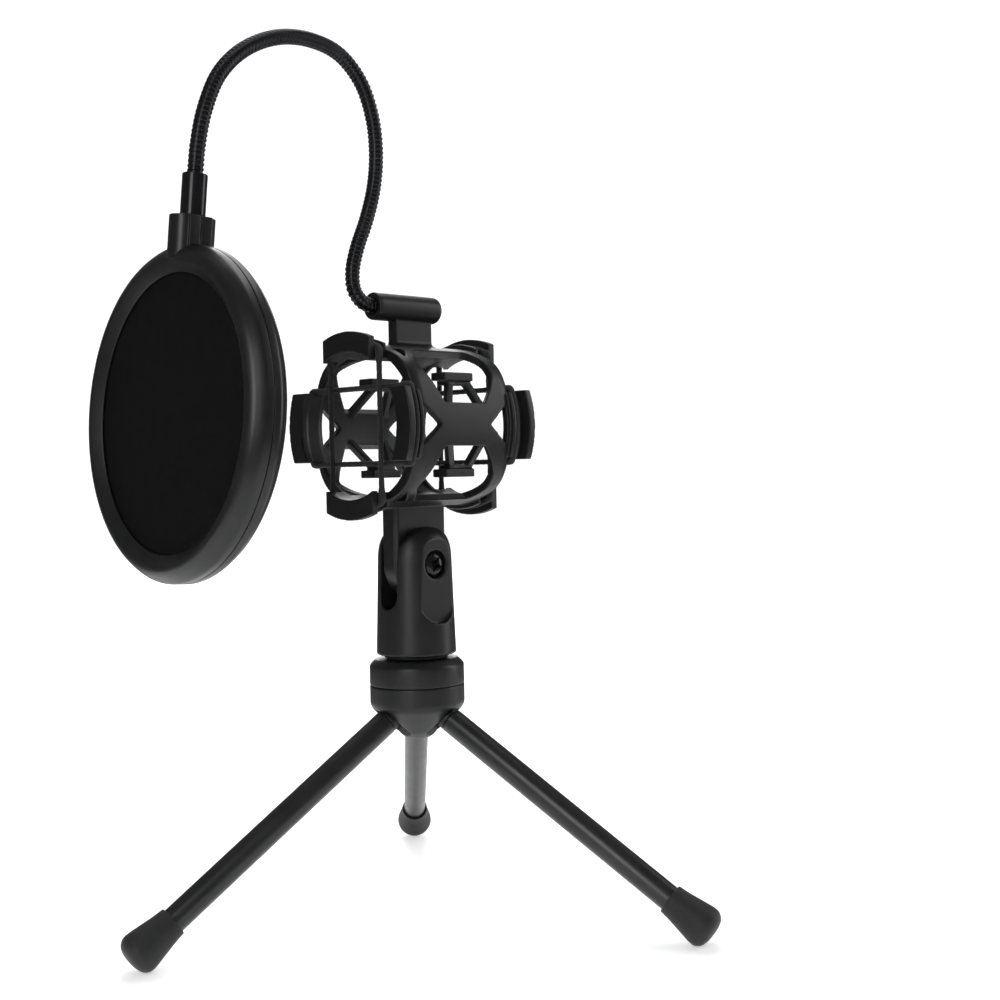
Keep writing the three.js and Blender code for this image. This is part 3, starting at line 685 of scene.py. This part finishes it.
def make_hub():
    body = lathe("hub", rounded([
        (0, NOSE_BOTTOM), (NOSE_TIP_RADIUS, NOSE_BOTTOM, 0.6), (NOSE_RADIUS, NOSE_SHOULDER, 0.9),
        (HUB_RADIUS, HUB_SKIRT, 2), (HUB_RADIUS, HUB_SEAM - FINE_GAP, 0.5),
        (0, HUB_SEAM - FINE_GAP)]), 128)
    cut(body, *[leg_slot(yaw) for yaw in LEG_YAWS],
        *[pin_shape(PIN_RADIUS + CLEARANCE, PIN_LENGTH + 2 * CLEARANCE, yaw) for yaw in LEG_YAWS],
        rod(BOLT_RADIUS + CLEARANCE, NOSE_BOTTOM - 1, HUB_SEAM + 1),
        rod(BOLT_HEAD + 0.4, NOSE_BOTTOM - 1, NOSE_BOTTOM + 3.2))
    settle(moulded(body, 0.3, 3), "hub_lower_body_shell", PLASTIC, "moulded_black",
           "tripod_hub", "hub_lower_body")

    pocket, pocket_top, seam = STUD_FOOT_RADIUS + 0.4, STUD_FOOT_TOP + CLEARANCE, HUB_SEAM + FINE_GAP
    cap = lathe("cap", rounded([
        (STUD_BORE, pocket_top), (pocket, pocket_top), (pocket, seam), (HUB_RADIUS, seam, 0.5),
        (HUB_RADIUS, CAP_EDGE, 0.9), (CAP_TOP_RADIUS, HUB_TOP, 0.8), (STUD_BORE, HUB_TOP, 0.3)],
        closed=True), 160)
    settle(cap, "hub_top_cap_shell", PLASTIC, "moulded_black", "tripod_hub", "hub_top_cap",
           smooth_angle=50)

    low, high = HUB_TOP + CLEARANCE, CLIP_BOTTOM - CLEARANCE
    washer = lathe("washer", rounded([
        (STUD_BORE, low, 0.3), (WASHER_RADIUS, low, 0.5), (WASHER_RADIUS, high, 0.5),
        (STUD_BORE, high, 0.3)], closed=True), 96)
    settle(washer, "collar_washer_rubber", RUBBER, "foot_rubber", "tripod_hub", "stud_collar_washer")

    low, shoulder = NOSE_BOTTOM + 0.4, NOSE_BOTTOM + 2.9
    bolt = lathe("bolt", rounded([
        (0, low), (BOLT_HEAD, low, 0.5), (BOLT_HEAD, shoulder, 0.2), (BOLT_RADIUS, shoulder),
        (BOLT_RADIUS, BOLT_TOP, 0.4), (0, BOLT_TOP)]), 64)
    hexagon = arc((0, 0), 2, 0, 300, 5)
    cut(bolt, prism("tool", hexagon, NOSE_BOTTOM - 1, NOSE_BOTTOM + 1.9))
    settle(bolt, "centre_bolt_hex", STEEL, "zinc_steel", "tripod_hub", "hub_centre_bolt", smooth_angle=35)

    settle(threaded_stud(), "threaded_stud_steel", STEEL, "zinc_steel", "tripod_hub", "threaded_stud",
           smooth_angle=60)
    for leg, yaw in enumerate(LEG_YAWS, 1):
        settle(pin_shape(PIN_RADIUS, PIN_LENGTH, yaw), f"leg_pin_{leg}_steel", STEEL, "zinc_steel",
               "tripod_hub", f"leg_pin_{leg}", smooth_angle=50)


def thread_rows(radius, depth, low, high, sides):
    """Heights and radii of a screw thread with blunt crests, fading out at both ends."""
    rows_per_pitch, fade = 8, 0.8 * THREAD_PITCH
    count = int((high - low) / THREAD_PITCH * rows_per_pitch)
    heights = np.linspace(low, high, count)
    turn = np.arange(sides) / sides
    phase = (heights[:, None] / THREAD_PITCH - turn[None, :]) % 1
    crest = np.clip(1.25 - 2.5 * np.abs(phase - 0.5), 0, 1)
    ends = np.clip(np.minimum(heights - low, high - heights) / fade, 0, 1)
    return heights, radius - depth * (1 - crest) * ends[:, None]


def threaded_stud():
    """A round foot that the cap holds down, then the thread, chamfered at its end."""
    sides, depth, chamfer = 48, 0.5, 0.9
    heights, radii = thread_rows(
        THREAD_RADIUS, depth, STUD_FOOT_TOP + 0.2, THREAD_TOP - chamfer, sides)
    foot = [
        (STUD_FOOT_RADIUS - 0.4, HUB_SEAM + 0.3), (STUD_FOOT_RADIUS, HUB_SEAM + 0.7),
        (STUD_FOOT_RADIUS, STUD_FOOT_TOP - 0.3), (STUD_FOOT_RADIUS - 0.3, STUD_FOOT_TOP),
        (THREAD_RADIUS, STUD_FOOT_TOP)]
    all_radii = [[radius] * sides for radius, _ in foot] + radii.tolist()
    all_heights = [height for _, height in foot] + heights.tolist()
    stud = spun("stud", all_radii + [[THREAD_RADIUS - chamfer] * sides], all_heights + [THREAD_TOP])
    return cut(stud, rod(BOLT_RADIUS + CLEARANCE, HUB_SEAM, BOLT_TOP + 1))


# ---------------------------------------------------------------- legs
def make_leg(number, yaw):
    body = f"leg_{number}"
    place = leg_frame(yaw)
    tube_end = FOOT_START + FOOT_OVERLAP
    spigot, spigot_end = LEG_BORE - CLEARANCE, -KNUCKLE_LENGTH - SPIGOT_LENGTH
    knuckle = lathe("knuckle", [
        (0, KNUCKLE_RADIUS), *arc((0, 0), KNUCKLE_RADIUS, 84, 0, 12),
        *rounded([(KNUCKLE_RADIUS, -KNUCKLE_LENGTH + 0.3), (KNUCKLE_RADIUS - 0.3, -KNUCKLE_LENGTH),
                  (spigot, -KNUCKLE_LENGTH), (spigot, spigot_end, 0.5)]),
        (0, spigot_end)], 64)
    cut(knuckle, rod(PIN_RADIUS + CLEARANCE, -10, 10, "Y"))
    settle(moved(knuckle, place), f"leg_knuckle_{number}_moulding", PLASTIC, "moulded_black", body,
           f"leg_knuckle_{number}", smooth_angle=40)
    top = -KNUCKLE_LENGTH - CLEARANCE
    tube = lathe("tube", rounded([
        (LEG_BORE, -tube_end), (LEG_RADIUS, -tube_end, 0.3), (LEG_RADIUS, top, 0.4),
        (LEG_BORE, top, 0.3)], closed=True), 72)
    settle(moved(tube, place), f"leg_tube_{number}_painted", PAINT, "leg_paint", body,
           f"leg_tube_{number}", smooth_angle=50)
    foot = foot_shape(tube_end)
    settle(moved(foot, place), f"rubber_foot_{number}_cap", RUBBER, "foot_rubber", body,
           f"rubber_foot_{number}", smooth_angle=60)


def foot_shape(tube_end):
    """A flared cap with a domed sole, from (radius, distance below its mouth, fillet)."""
    mouth, floor = LEG_RADIUS + CLEARANCE, -tube_end - CLEARANCE
    side = [(0, 20.45), (3.4, 20.3, 2), (6.3, 19.35, 1.5), (8, 17, 1.5), (8, 14.6, 1.5),
            (7.15, 9.4, 3), (6.25, 4, 3), (5.9, 0, 0.3), (mouth, 0, 0.2)]
    outside = [(radius, -FOOT_START - below, *fillet) for radius, below, *fillet in side]
    return lathe("foot", rounded(outside + [(mouth, floor), (0, floor)]), 96)


# ---------------------------------------------------------------- clip
def stadium(low, low_radius, high, high_radius):
    """Two half rounds joined by straight sides, in (y, z)."""
    return arc((0, low), low_radius, 180, 360) + arc((0, high), high_radius, 0, 180)


def make_clip():
    clip_body()
    clip_hardware()


def clip_body():
    """A turned shell, flat at its cheeks, with the fork, the screw's recess and a bore from below."""
    body = lathe("clip", rounded([
        (0, CLIP_BOTTOM), (16.2, CLIP_BOTTOM, 0.9), (14.9, 146, 3), (14.2, 150.2, 2), (12.6, 153.6, 2),
        (10, 156, 2), (6.5, 157.1, 2), (0, 157.2)]), 128)
    wide, outside = 20, 22
    cheeks = [(-wide, CLIP_BOTTOM - 1), (wide, CLIP_BOTTOM - 1), (wide, TILT_HEIGHT - 8)]
    cheeks += arc((0, TILT_HEIGHT), CHEEK_RADIUS, 0, 180, 40) + [(-wide, TILT_HEIGHT - 8)]
    combined(body, [prism_x(cheeks, -outside, outside)], "INTERSECT")
    fork = [(FORK_HALF, 170), (-FORK_HALF, 170)] + arc((0, FORK_BOTTOM), FORK_HALF, 180, 360)
    recess = stadium(RECESS_LOW, RECESS_LOW_RADIUS, TILT_HEIGHT, RECESS_HIGH_RADIUS)
    hexagon = arc((0, TILT_HEIGHT), NUT_RADIUS + 0.4, 30, 330, 5)
    cut(body,
        prism_y(fork, -wide, wide),
        prism_x(recess, RECESS_FACE, wide + 1), prism_x(recess, -wide - 1, -RECESS_FACE),
        shifted(rod(SCREW_RADIUS + CLEARANCE, -wide, wide, "X"), z=TILT_HEIGHT),
        shifted(rod(SCREW_HEAD + 0.8, SCREW_SEAT, wide, "X", 64), z=TILT_HEIGHT),
        prism_x(hexagon, -wide, -NUT_SEAT),
        rod(INSERT_RADIUS + CLEARANCE, CLIP_BOTTOM - 1, THREAD_TOP + ROOM_ABOVE_STUD, "Z", 64))
    settle(moulded(body, 0.32, 4), "clip_body_shell", PLASTIC, "moulded_black", "clip", "clip_body")


def clip_hardware():
    """The brass insert, and the screw and nut that the cage tilts on."""
    sides, mouth, depth = 64, THREAD_RADIUS + 0.9, 0.4
    low, high = CLIP_BOTTOM + 0.8, THREAD_TOP + 0.6
    heights, radii = thread_rows(THREAD_RADIUS + CLEARANCE, -depth, low, high, sides)
    shell = [(mouth, low - 0.4), (INSERT_RADIUS - 0.4, low - 0.4), (INSERT_RADIUS, low),
             (INSERT_RADIUS, high), (INSERT_RADIUS - 0.4, high + 0.4), (mouth, high + 0.4)]
    insert = spun(
        "insert", [[radius] * sides for radius, _ in shell] + radii[::-1].tolist(),
        [height for _, height in shell] + heights[::-1].tolist(), closed=True)
    settle(insert, "thread_insert_brass", BRASS, "insert_brass", "clip", "thread_insert", smooth_angle=50)

    screw = lathe("screw", rounded([
        (0, -13.4), (SCREW_RADIUS, -13.4, 0.5), (SCREW_RADIUS, 9.7), (SCREW_HEAD, 9.7, 0.3),
        (SCREW_HEAD, 11.2, 1.2), (3.4, 12.7, 1.5), (0, 13)]), 64)
    for turn in (0, math.pi / 2):
        cut(screw, block((6.2, 1.25, 6), (0, 0, 13.6), Matrix.Rotation(turn, 4, "Z")))
    cut(screw, lathe("tool", [(0, 8.8), (2.2, 13.4), (0, 13.4)], 16))
    axis, head_turn = Matrix.Translation((0, 0, TILT_HEIGHT)), math.radians(62)
    moved(screw, axis @ Matrix.Rotation(head_turn, 4, "X") @ Matrix.Rotation(math.pi / 2, 4, "Y"))
    settle(screw, "tilt_screw_cross_head", DARK_STEEL, "zinc_steel", "clip", "tilt_screw", smooth_angle=35)

    nut = prism("nut", arc((0, 0), NUT_RADIUS, 30, 330, 5), -12.6, -9.5)
    chamfers = lathe(
        "tool", [(0, -12.7), (3.7, -12.7), (4.7, -12), (4.7, -10.1), (3.7, -9.4), (0, -9.4)], 64)
    combined(nut, [chamfers], "INTERSECT")
    cut(nut, rod(SCREW_RADIUS + 0.1, -15, -5))
    moved(nut, axis @ Matrix.Rotation(math.pi / 2, 4, "Y"))
    settle(nut, "tilt_nut_hex", DARK_STEEL, "zinc_steel", "clip", "tilt_nut", smooth_angle=30)


# ---------------------------------------------------------------- shock mount cage
def radial_prism(angle, outline, side=1):
    """A prism straight outward through the barrel; outline points are (across, y)."""
    a, inside, outside = math.radians(angle), 12, 45
    tool = prism("tool", [(side * across, y) for across, y in outline], inside, outside)
    place = Matrix((
        (math.sin(a), 0, math.cos(a), 0),
        (0, 1, 0, 0),
        (-math.cos(a), 0, math.sin(a), 0),
        (0, 0, 0, 1)))
    return moved(tool, place)


def paddle_outline(inner, outer, half):
    """An arc-shaped block with straight ends, centred on +Z, in (x, z)."""
    wide, narrow = (math.degrees(math.asin(half / radius)) for radius in (outer, inner))
    outline = arc((0, 0), outer, 90 - wide, 90 + wide, 20)
    return outline + arc((0, 0), inner, 90 + narrow, 90 - narrow, 20)


def paddles():
    """Eight end paddles: an outer flange, the web that the elastics wrap, and a flange on the rim."""
    layers = [(28.8, 36.8, 14, 31, 34), (29, 31.7, 13.4, 24.6, 31.5), (29.2, 34.4, 13, 24.2, 25.8)]
    made = []
    for quarter in range(4):
        turn = Matrix.Rotation(quarter * math.pi / 2, 4, "Y")
        for inner, outer, half, near, far in layers:
            for low, high in ((near, far), (-far, -near)):
                made.append(moved(prism_y(paddle_outline(inner, outer, half), low, high), turn))
    return made


def guard_pad(side_x, side_z):
    """A level pad on a step, held inward of the side plate by two leaning struts."""
    x, y, z = PAD_PLACE
    made = [block(PAD_SIZE, (side_x * x, y, side_z * z)),
            block(PAD_STEP, (side_x * x, y, side_z * (z - 2.4)))]
    for foot, top in PAD_STRUTS:
        start = Vector((side_x * 30, foot, side_z * 5.4))
        end = Vector((side_x * (x + 0.6), top, side_z * (z - 1.6)))
        along = (end - start).normalized()
        across = Vector((0, 1, 0)).cross(along).normalized()
        turn = Matrix((across, along.cross(across), along)).transposed().to_4x4()
        size = (3, 2.8, (end - start).length)
        made.append(block(size, (0, 0, 0), Matrix.Translation((start + end) / 2) @ turn))
    return made


def neck_bar():
    """The bar down to the tilt screw: rounded at its foot, with a broad bevel along its edges."""
    axis, bevel = TILT_HEIGHT - CAGE.z, 1.5

    def outline(inset):
        half = NECK_HALF_WIDTH - inset
        return arc((0, axis), half, 180, 360, 40) + [(half, NECK_TOP), (-half, NECK_TOP)]
    made = [prism_x(outline(0), -NECK_HALF_THICKNESS + bevel, NECK_HALF_THICKNESS - bevel)]
    count = len(outline(0))
    for side in (-1, 1):
        inner, face = side * (NECK_HALF_THICKNESS - bevel - 0.1), side * NECK_HALF_THICKNESS
        points = [(inner, y, z) for y, z in outline(0.1)] + [(face, y, z) for y, z in outline(bevel)]
        faces = [tuple(range(count)), tuple(range(count, 2 * count))[::-1]]
        faces += [(at, at + count, (at + 1) % count + count, (at + 1) % count) for at in range(count)]
        made.append(outward(make_object("tool", points, faces)))
    return made


def socket_post():
    """The flat post that flares into the cage's top bar, and the gooseneck socket on it."""
    half, flare, low, high = 2.5, 2.2, CAGE_OUTER - 1.2, SOCKET_RISE - 2
    outline = [(-half - flare, low), (half + flare, low), (half + flare, CAGE_OUTER - 0.1)]
    outline += arc((half + flare, CAGE_OUTER + flare), flare, 270, 180, 8)
    outline += [(half, high), (-half, high)]
    outline += arc((-half - flare, CAGE_OUTER + flare), flare, 0, -90, 8)
    outline += [(-half - flare, CAGE_OUTER - 0.1)]
    post = prism_y(outline, -POST_HALF, POST_HALF)
    length = SOCKET_REAR - SOCKET_FRONT
    barrel = lathe("tool", rounded([
        (0, 0), (SOCKET_RADIUS, 0, 2.2), (SOCKET_RADIUS, length, 0.9), (0, length)]), 96)
    place = Matrix.Translation((0, SOCKET_REAR, SOCKET_RISE)) @ Matrix.Rotation(math.pi / 2, 4, "X")
    return [post, moved(barrel, place)]


def bulged(barrel):
    """Swells the barrel between its plates and bars, but leaves the edge of each end opening round."""
    for vertex in barrel.data.vertices:
        x, _, z = vertex.co
        if abs(math.hypot(x, z) - RIM_INNER) > 0.01:
            swell = 1 + CAGE_BULGE * math.sin(2 * math.atan2(z, x)) ** 4
            vertex.co.x, vertex.co.z = x * swell, z * swell
    return barrel


def cage_barrel():
    """The thin barrel, with its windows cut through it. Outlines are (across, y), drawn for one side."""
    front = [(CAGE_OUTER, 3 - CAGE_HALF, 2), (CAGE_OUTER - 0.8, -CAGE_HALF, 0.6), (RIM_INNER, -CAGE_HALF),
             (RIM_INNER, 1.6 - CAGE_HALF), (CAGE_INNER, 2 - CAGE_HALF)]
    rear = [(radius, -y, *fillet) for radius, y, *fillet in front[::-1]]
    barrel = lathe("cage", rounded(front + rear, closed=True), 160)
    moved(barrel, Matrix.Rotation(math.pi / 2, 4, "X"))
    bulged(barrel)
    bar_angle = 90 - math.degrees(math.asin(BAR_HALF_WIDTH / CAGE_OUTER))
    middle = (PLATE_HALF_ANGLE + bar_angle) / 2
    half = CAGE_INNER * math.sin(math.radians(bar_angle - PLATE_HALF_ANGLE) / 2)
    window = rounded([
        (-half, -10.8, 0.8), (-half, 10.8, 0.8), (-8, 15.2, 1.5), (-1.9, 18.6, 1.5), (5, 18.6, 1.2),
        (half, 15.6, 1), (half, -13.5, 1), (3, -20.3, 2)], closed=True)
    strut_gap = rounded([(5.4, -23.2, 0.6), (half, -17.6, 0.6), (half, -23.2, 0.6)], closed=True)
    end_gap = rounded([(0, -13.2, 0.8), (8.2, -22.8, 0.8), (-8.2, -22.8, 0.8)], closed=True)
    holes = []
    for angle, side in ((middle, -1), (-middle, 1), (180 - middle, 1), (180 + middle, -1)):
        holes += [radial_prism(angle, window, side), radial_prism(angle, strut_gap, side)]
    for angle in (0, 180):
        for end in (1, -1):
            holes.append(radial_prism(angle, [(across, end * y) for across, y in end_gap]))
    return cut(barrel, *holes)


def make_cage():
    barrel = cage_barrel()
    pads = []
    for side_x, side_z in ((1, 1), (1, -1), (-1, 1), (-1, -1)):
        pads += guard_pad(side_x, side_z)
    added(barrel, *paddles(), *pads, *neck_bar(), *socket_post())
    bore = shifted(rod(NECK_TUBE + CLEARANCE, SOCKET_FRONT - 1, SOCKET_FLOOR, "Y", 48), z=SOCKET_RISE)
    screw_hole = shifted(rod(SCREW_RADIUS + CLEARANCE, -10, 10, "X"), z=TILT_HEIGHT - CAGE.z)
    cut(barrel, bore, screw_hole)
    moulded(barrel, 0.35, 2)
    shifted(barrel, z=CAGE.z)
    settle(barrel, "shock_mount_cage_moulding", PLASTIC, "moulded_black", "shock_mount", "shock_mount_cage")


def cord_route(count):
    """Points of one elastic loop in (x, z): round two opposite paddles, with straight runs between."""
    lean = math.degrees(math.asin(CORD_SPAN / CORD_WRAP))
    corner = 1.6
    level = CORD_WRAP * math.cos(math.radians(lean))
    outline = rounded(
        [(CORD_SPAN, -level, corner), (CORD_SPAN, level, corner)]
        + arc((0, 0), CORD_WRAP, 90 - lean, 90 + lean, 14)[1:-1]
        + [(-CORD_SPAN, level, corner), (-CORD_SPAN, -level, corner)]
        + arc((0, 0), CORD_WRAP, 270 - lean, 270 + lean, 14)[1:-1], closed=True, steps=6)
    points = np.array(outline + outline[:1])
    reach = np.concatenate([[0], np.cumsum(np.linalg.norm(np.diff(points, axis=0), axis=1))])
    even = np.linspace(0, reach[-1], count, endpoint=False)
    return np.stack([np.interp(even, reach, points[:, axis]) for axis in (0, 1)], axis=1), reach[-1]


def make_elastic(name, plane, turn):
    """A round elastic cord with a braided cover, closed on itself, and thicker where a paddle pinches it."""
    sides, count, braid_pitch, braid_depth = 20, 640, 3.4, 0.045
    knee_swell, knee_reach = 0.38, 3
    route, length = cord_route(count)
    ahead = np.roll(route, -1, axis=0) - np.roll(route, 1, axis=0)
    ahead /= np.linalg.norm(ahead, axis=1)[:, None]
    out = np.stack([ahead[:, 1], -ahead[:, 0]], axis=1)
    angle = np.arange(sides) * 2 * math.pi / sides
    turns = round(length / braid_pitch)
    phase = np.arange(count)[:, None] / count * 2 * math.pi * turns
    braid = np.maximum(np.cos(4 * angle[None, :] + phase), np.cos(4 * angle[None, :] - phase))
    from_knee = np.hypot(np.abs(route[:, 0]) - CORD_SPAN, np.abs(route[:, 1]) - CORD_KNEE)
    swell = 1 + knee_swell * np.exp(-(from_knee / knee_reach) ** 2)
    radius = CORD_RADIUS * swell[:, None] * (1 - braid_depth + braid_depth * braid)
    points = np.zeros((count, sides, 3))
    points[:, :, 0] = route[:, None, 0] + out[:, None, 0] * radius * np.cos(angle)
    points[:, :, 2] = route[:, None, 1] + out[:, None, 1] * radius * np.cos(angle)
    points[:, :, 1] = radius * np.sin(angle)
    cord = grid_tube(name, points, closed=True)
    moved(cord, Matrix.Translation((0, plane, CAGE.z)) @ Matrix.Rotation(turn, 4, "Y"))
    settle(cord, f"{name}_braided", CORD, "elastic_cord", "shock_mount", name)


# ---------------------------------------------------------------- gooseneck
def goose_curve():
    """The route as a fine centripetal curve: points, and the length along it of each stop."""
    stops = np.array(GOOSE_ROUTE, float)
    stops = np.vstack([2 * stops[0] - stops[1], stops, 2 * stops[-1] - stops[-2]])
    fine, steps = [], 60
    for at in range(1, len(stops) - 2):
        p0, p1, p2, p3 = stops[at - 1:at + 3]
        t0 = 0
        t1 = t0 + math.sqrt(np.linalg.norm(p1 - p0))
        t2 = t1 + math.sqrt(np.linalg.norm(p2 - p1))
        t3 = t2 + math.sqrt(np.linalg.norm(p3 - p2))
        for t in np.linspace(t1, t2, steps, endpoint=False):
            a1 = (t1 - t) / (t1 - t0) * p0 + (t - t0) / (t1 - t0) * p1
            a2 = (t2 - t) / (t2 - t1) * p1 + (t - t1) / (t2 - t1) * p2
            a3 = (t3 - t) / (t3 - t2) * p2 + (t - t2) / (t3 - t2) * p3
            b1 = (t2 - t) / (t2 - t0) * a1 + (t - t0) / (t2 - t0) * a2
            b2 = (t3 - t) / (t3 - t1) * a2 + (t - t1) / (t3 - t1) * a3
            fine.append((t2 - t) / (t2 - t1) * b1 + (t - t1) / (t2 - t1) * b2)
    fine.append(stops[-2])
    fine = np.array(fine)
    reach = np.concatenate([[0], np.cumsum(np.linalg.norm(np.diff(fine, axis=0), axis=1))])
    return fine, reach, reach[::steps]


def winding_radius(along, turn):
    """The strip winding's surface: a broad round band, then a narrow lower one, in each pitch."""
    crest, broad = NECK_TUBE - 0.05, 0.66
    phase = (along / WINDING_PITCH - turn) % 1
    on_band = 2 * phase / broad - 1
    between = 2 * (phase - broad) / (1 - broad) - 1
    return np.where(
        phase < broad, crest - 0.34 * on_band ** 4, crest - 0.3 - 0.12 * between ** 2)


def make_gooseneck():
    """Stretches of wound tube, each from the middle of one link to the middle of the next."""
    fine, reach, stops = goose_curve()
    joints = [stops[stop] for stop in GOOSE_JOINT_STOPS]
    edges = [0] + [(a + b) / 2 for a, b in zip(joints, joints[1:])] + [reach[-1]]
    nodes = ["gooseneck_root"] + [f"gooseneck_{link}" for link in range(1, 6)]
    sides, rows_per_pitch, blend_reach = 36, 14, 8
    spacing = WINDING_PITCH / rows_per_pitch
    turn = np.arange(sides) / sides
    for index, joint in enumerate(joints):
        first, last = round(edges[index] / spacing), round(edges[index + 1] / spacing)
        along = np.clip(np.arange(first, last + 1) * spacing, 0, reach[-1])
        y, z = (np.interp(along, reach, fine[:, axis]) for axis in (0, 1))
        ahead_y, ahead_z = (np.interp(along, reach, np.gradient(fine[:, axis], reach)) for axis in (0, 1))
        size = np.hypot(ahead_y, ahead_z)
        ahead_y, ahead_z = ahead_y / size, ahead_z / size
        radius = winding_radius(along[:, None], turn[None, :])
        side, out = radius * np.cos(2 * math.pi * turn), radius * np.sin(2 * math.pi * turn)
        points = np.stack(
            [side, y[:, None] + out * ahead_z[:, None], z[:, None] - out * ahead_y[:, None]], axis=-1)
        piece = grid_tube(f"gooseneck_winding_{index + 1}", points)
        settle(piece, piece.name, GOOSE_METAL, "gooseneck_black", None)
        way = Vector((0, *(np.interp(joint, reach, np.gradient(fine[:, axis], reach)) for axis in (0, 1))))
        way.normalize()
        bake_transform(piece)
        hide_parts(nodes[index])
        if index == len(joints) - 1:
            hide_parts("gooseneck_tip")


# ---------------------------------------------------------------- pop screen
POP_PLACE = (Matrix.Translation(RING_CENTRE) @ Matrix.Rotation(-POP_TILT, 4, "X")
             @ Matrix.Rotation(POP_LEAN, 4, "Y") @ Matrix.Rotation(POP_TURN, 4, "Z"))
REAR = Matrix.Rotation(math.pi, 4, "Z")


def half_boss():
    """The front half of the collar on top of the rings: a block with a round front."""
    bulge, bulge_depth, half_width, depth = 5.6, -2.9, 6.5, -4.4
    edge = math.degrees(math.asin((depth - bulge_depth) / bulge))
    outline = [(-half_width, -HALF_GAP), (-half_width, depth, 0.4)]
    outline += arc((0, bulge_depth), bulge, 180 - edge, 360 + edge, 24)
    outline += [(half_width, depth, 0.4), (half_width, -HALF_GAP)]
    collar = prism("tool", rounded(outline), BOSS_BOTTOM, BOSS_TOP)
    stem_hole = rod(FERRULE_STEM + CLEARANCE, FERRULE_STEM_LOW - 0.6, BOSS_TOP + 1)
    return cut(bevelled(collar, 0.3), stem_hole)


def make_ring(name, side):
    """One moulded half of the frame: flat rim, convex face, crest, inner bevel and the screen's groove."""
    profile = rounded([
        (58, HALF_GAP), (RING_OUTER, HALF_GAP, 0.25), (RING_OUTER, 2.9, 0.8), (59.4, 4.3, 0.8),
        (57.6, 6.5, 1.6), (55.9, 7.6, 1.2), (54.2, 8, 0.7), (50, 4.9, 0.5), (50, 4.4, 0.2), (56.2, 4.4),
        (58, 2.8)], closed=True)
    hoop = moved(lathe("ring", profile, 256), Matrix.Rotation(math.pi / 2, 4, "X"))
    added(hoop, half_boss())
    if side > 0:
        moved(hoop, REAR)
    moved(hoop, POP_PLACE)
    settle(hoop, f"{name}_moulding", RING_PLASTIC, "ring_black", "pop_screen", name, smooth_angle=32)


def make_screen(name, side):
    """A thin disc of mesh, drawn tight, with a slight pucker near the ring that grips it."""
    rings, sides, thickness, calm_radius = 90, 240, 0.4, 30
    radius = np.linspace(0.4, SCREEN_RADIUS, rings)
    angle = np.arange(sides) * 2 * math.pi / sides
    grip = np.clip((radius - calm_radius) / (SCREEN_RADIUS - calm_radius), 0, 1)[:, None] ** 2
    pucker = 0.10 * grip * np.cos(24 * angle)[None, :] + 0.06 * grip * np.cos(17 * angle + 1)[None, :]
    x, z = radius[:, None] * np.cos(angle), radius[:, None] * np.sin(angle)
    middle = SCREEN_DEPTH + 0.4
    front = np.stack([x, -(middle + thickness / 2 + pucker), z], axis=-1)
    back = np.stack([x, -(middle - thickness / 2 + pucker), z], axis=-1)
    disc = grid_tube(name, np.concatenate([front, back[::-1]]))
    if side > 0:
        moved(disc, REAR)
    moved(disc, POP_PLACE)
    piece = settle(disc, f"{name}_fabric", FABRIC, "screen_mesh", "pop_screen", name, smooth_angle=60)


def make_ferrule():
    """The sleeve between the gooseneck and the rings, with a stem that the two halves clamp."""
    low = BOSS_TOP + CLEARANCE
    high, inside, floor = low + FERRULE_LENGTH, NECK_TUBE + 0.25, low + FERRULE_LENGTH - 2
    profile = rounded([
        (0, FERRULE_STEM_LOW), (FERRULE_STEM, FERRULE_STEM_LOW, 0.4), (FERRULE_STEM, low),
        (FERRULE_RADIUS, low, 0.3), (FERRULE_RADIUS, high, 0.5), (inside, high, 0.2),
        (inside, floor), (0, floor)])
    ferrule = moved(lathe("ferrule", profile, 96), POP_PLACE)
    settle(ferrule, "gooseneck_ferrule_sleeve", DARK_STEEL, "gooseneck_black", "pop_screen",
           "gooseneck_ferrule", smooth_angle=40)


# ---------------------------------------------------------------- the whole stand
make_camera()
make_studio()
make_backdrop()
make_hub()
for leg_number, leg_yaw in enumerate(LEG_YAWS, 1):
    make_leg(leg_number, leg_yaw)
make_clip()
make_cage()
for end, way in (("front", -1), ("rear", 1)):
    make_elastic(f"elastic_{end}_upright", way * UPRIGHT_PLANE, 0)
    make_elastic(f"elastic_{end}_level", way * LEVEL_PLANE, math.pi / 2)
make_gooseneck()
make_ring("screen_ring_front", -1)
make_ring("screen_ring_rear", 1)
make_screen("screen_front", -1)
make_screen("screen_rear", 1)
make_ferrule()
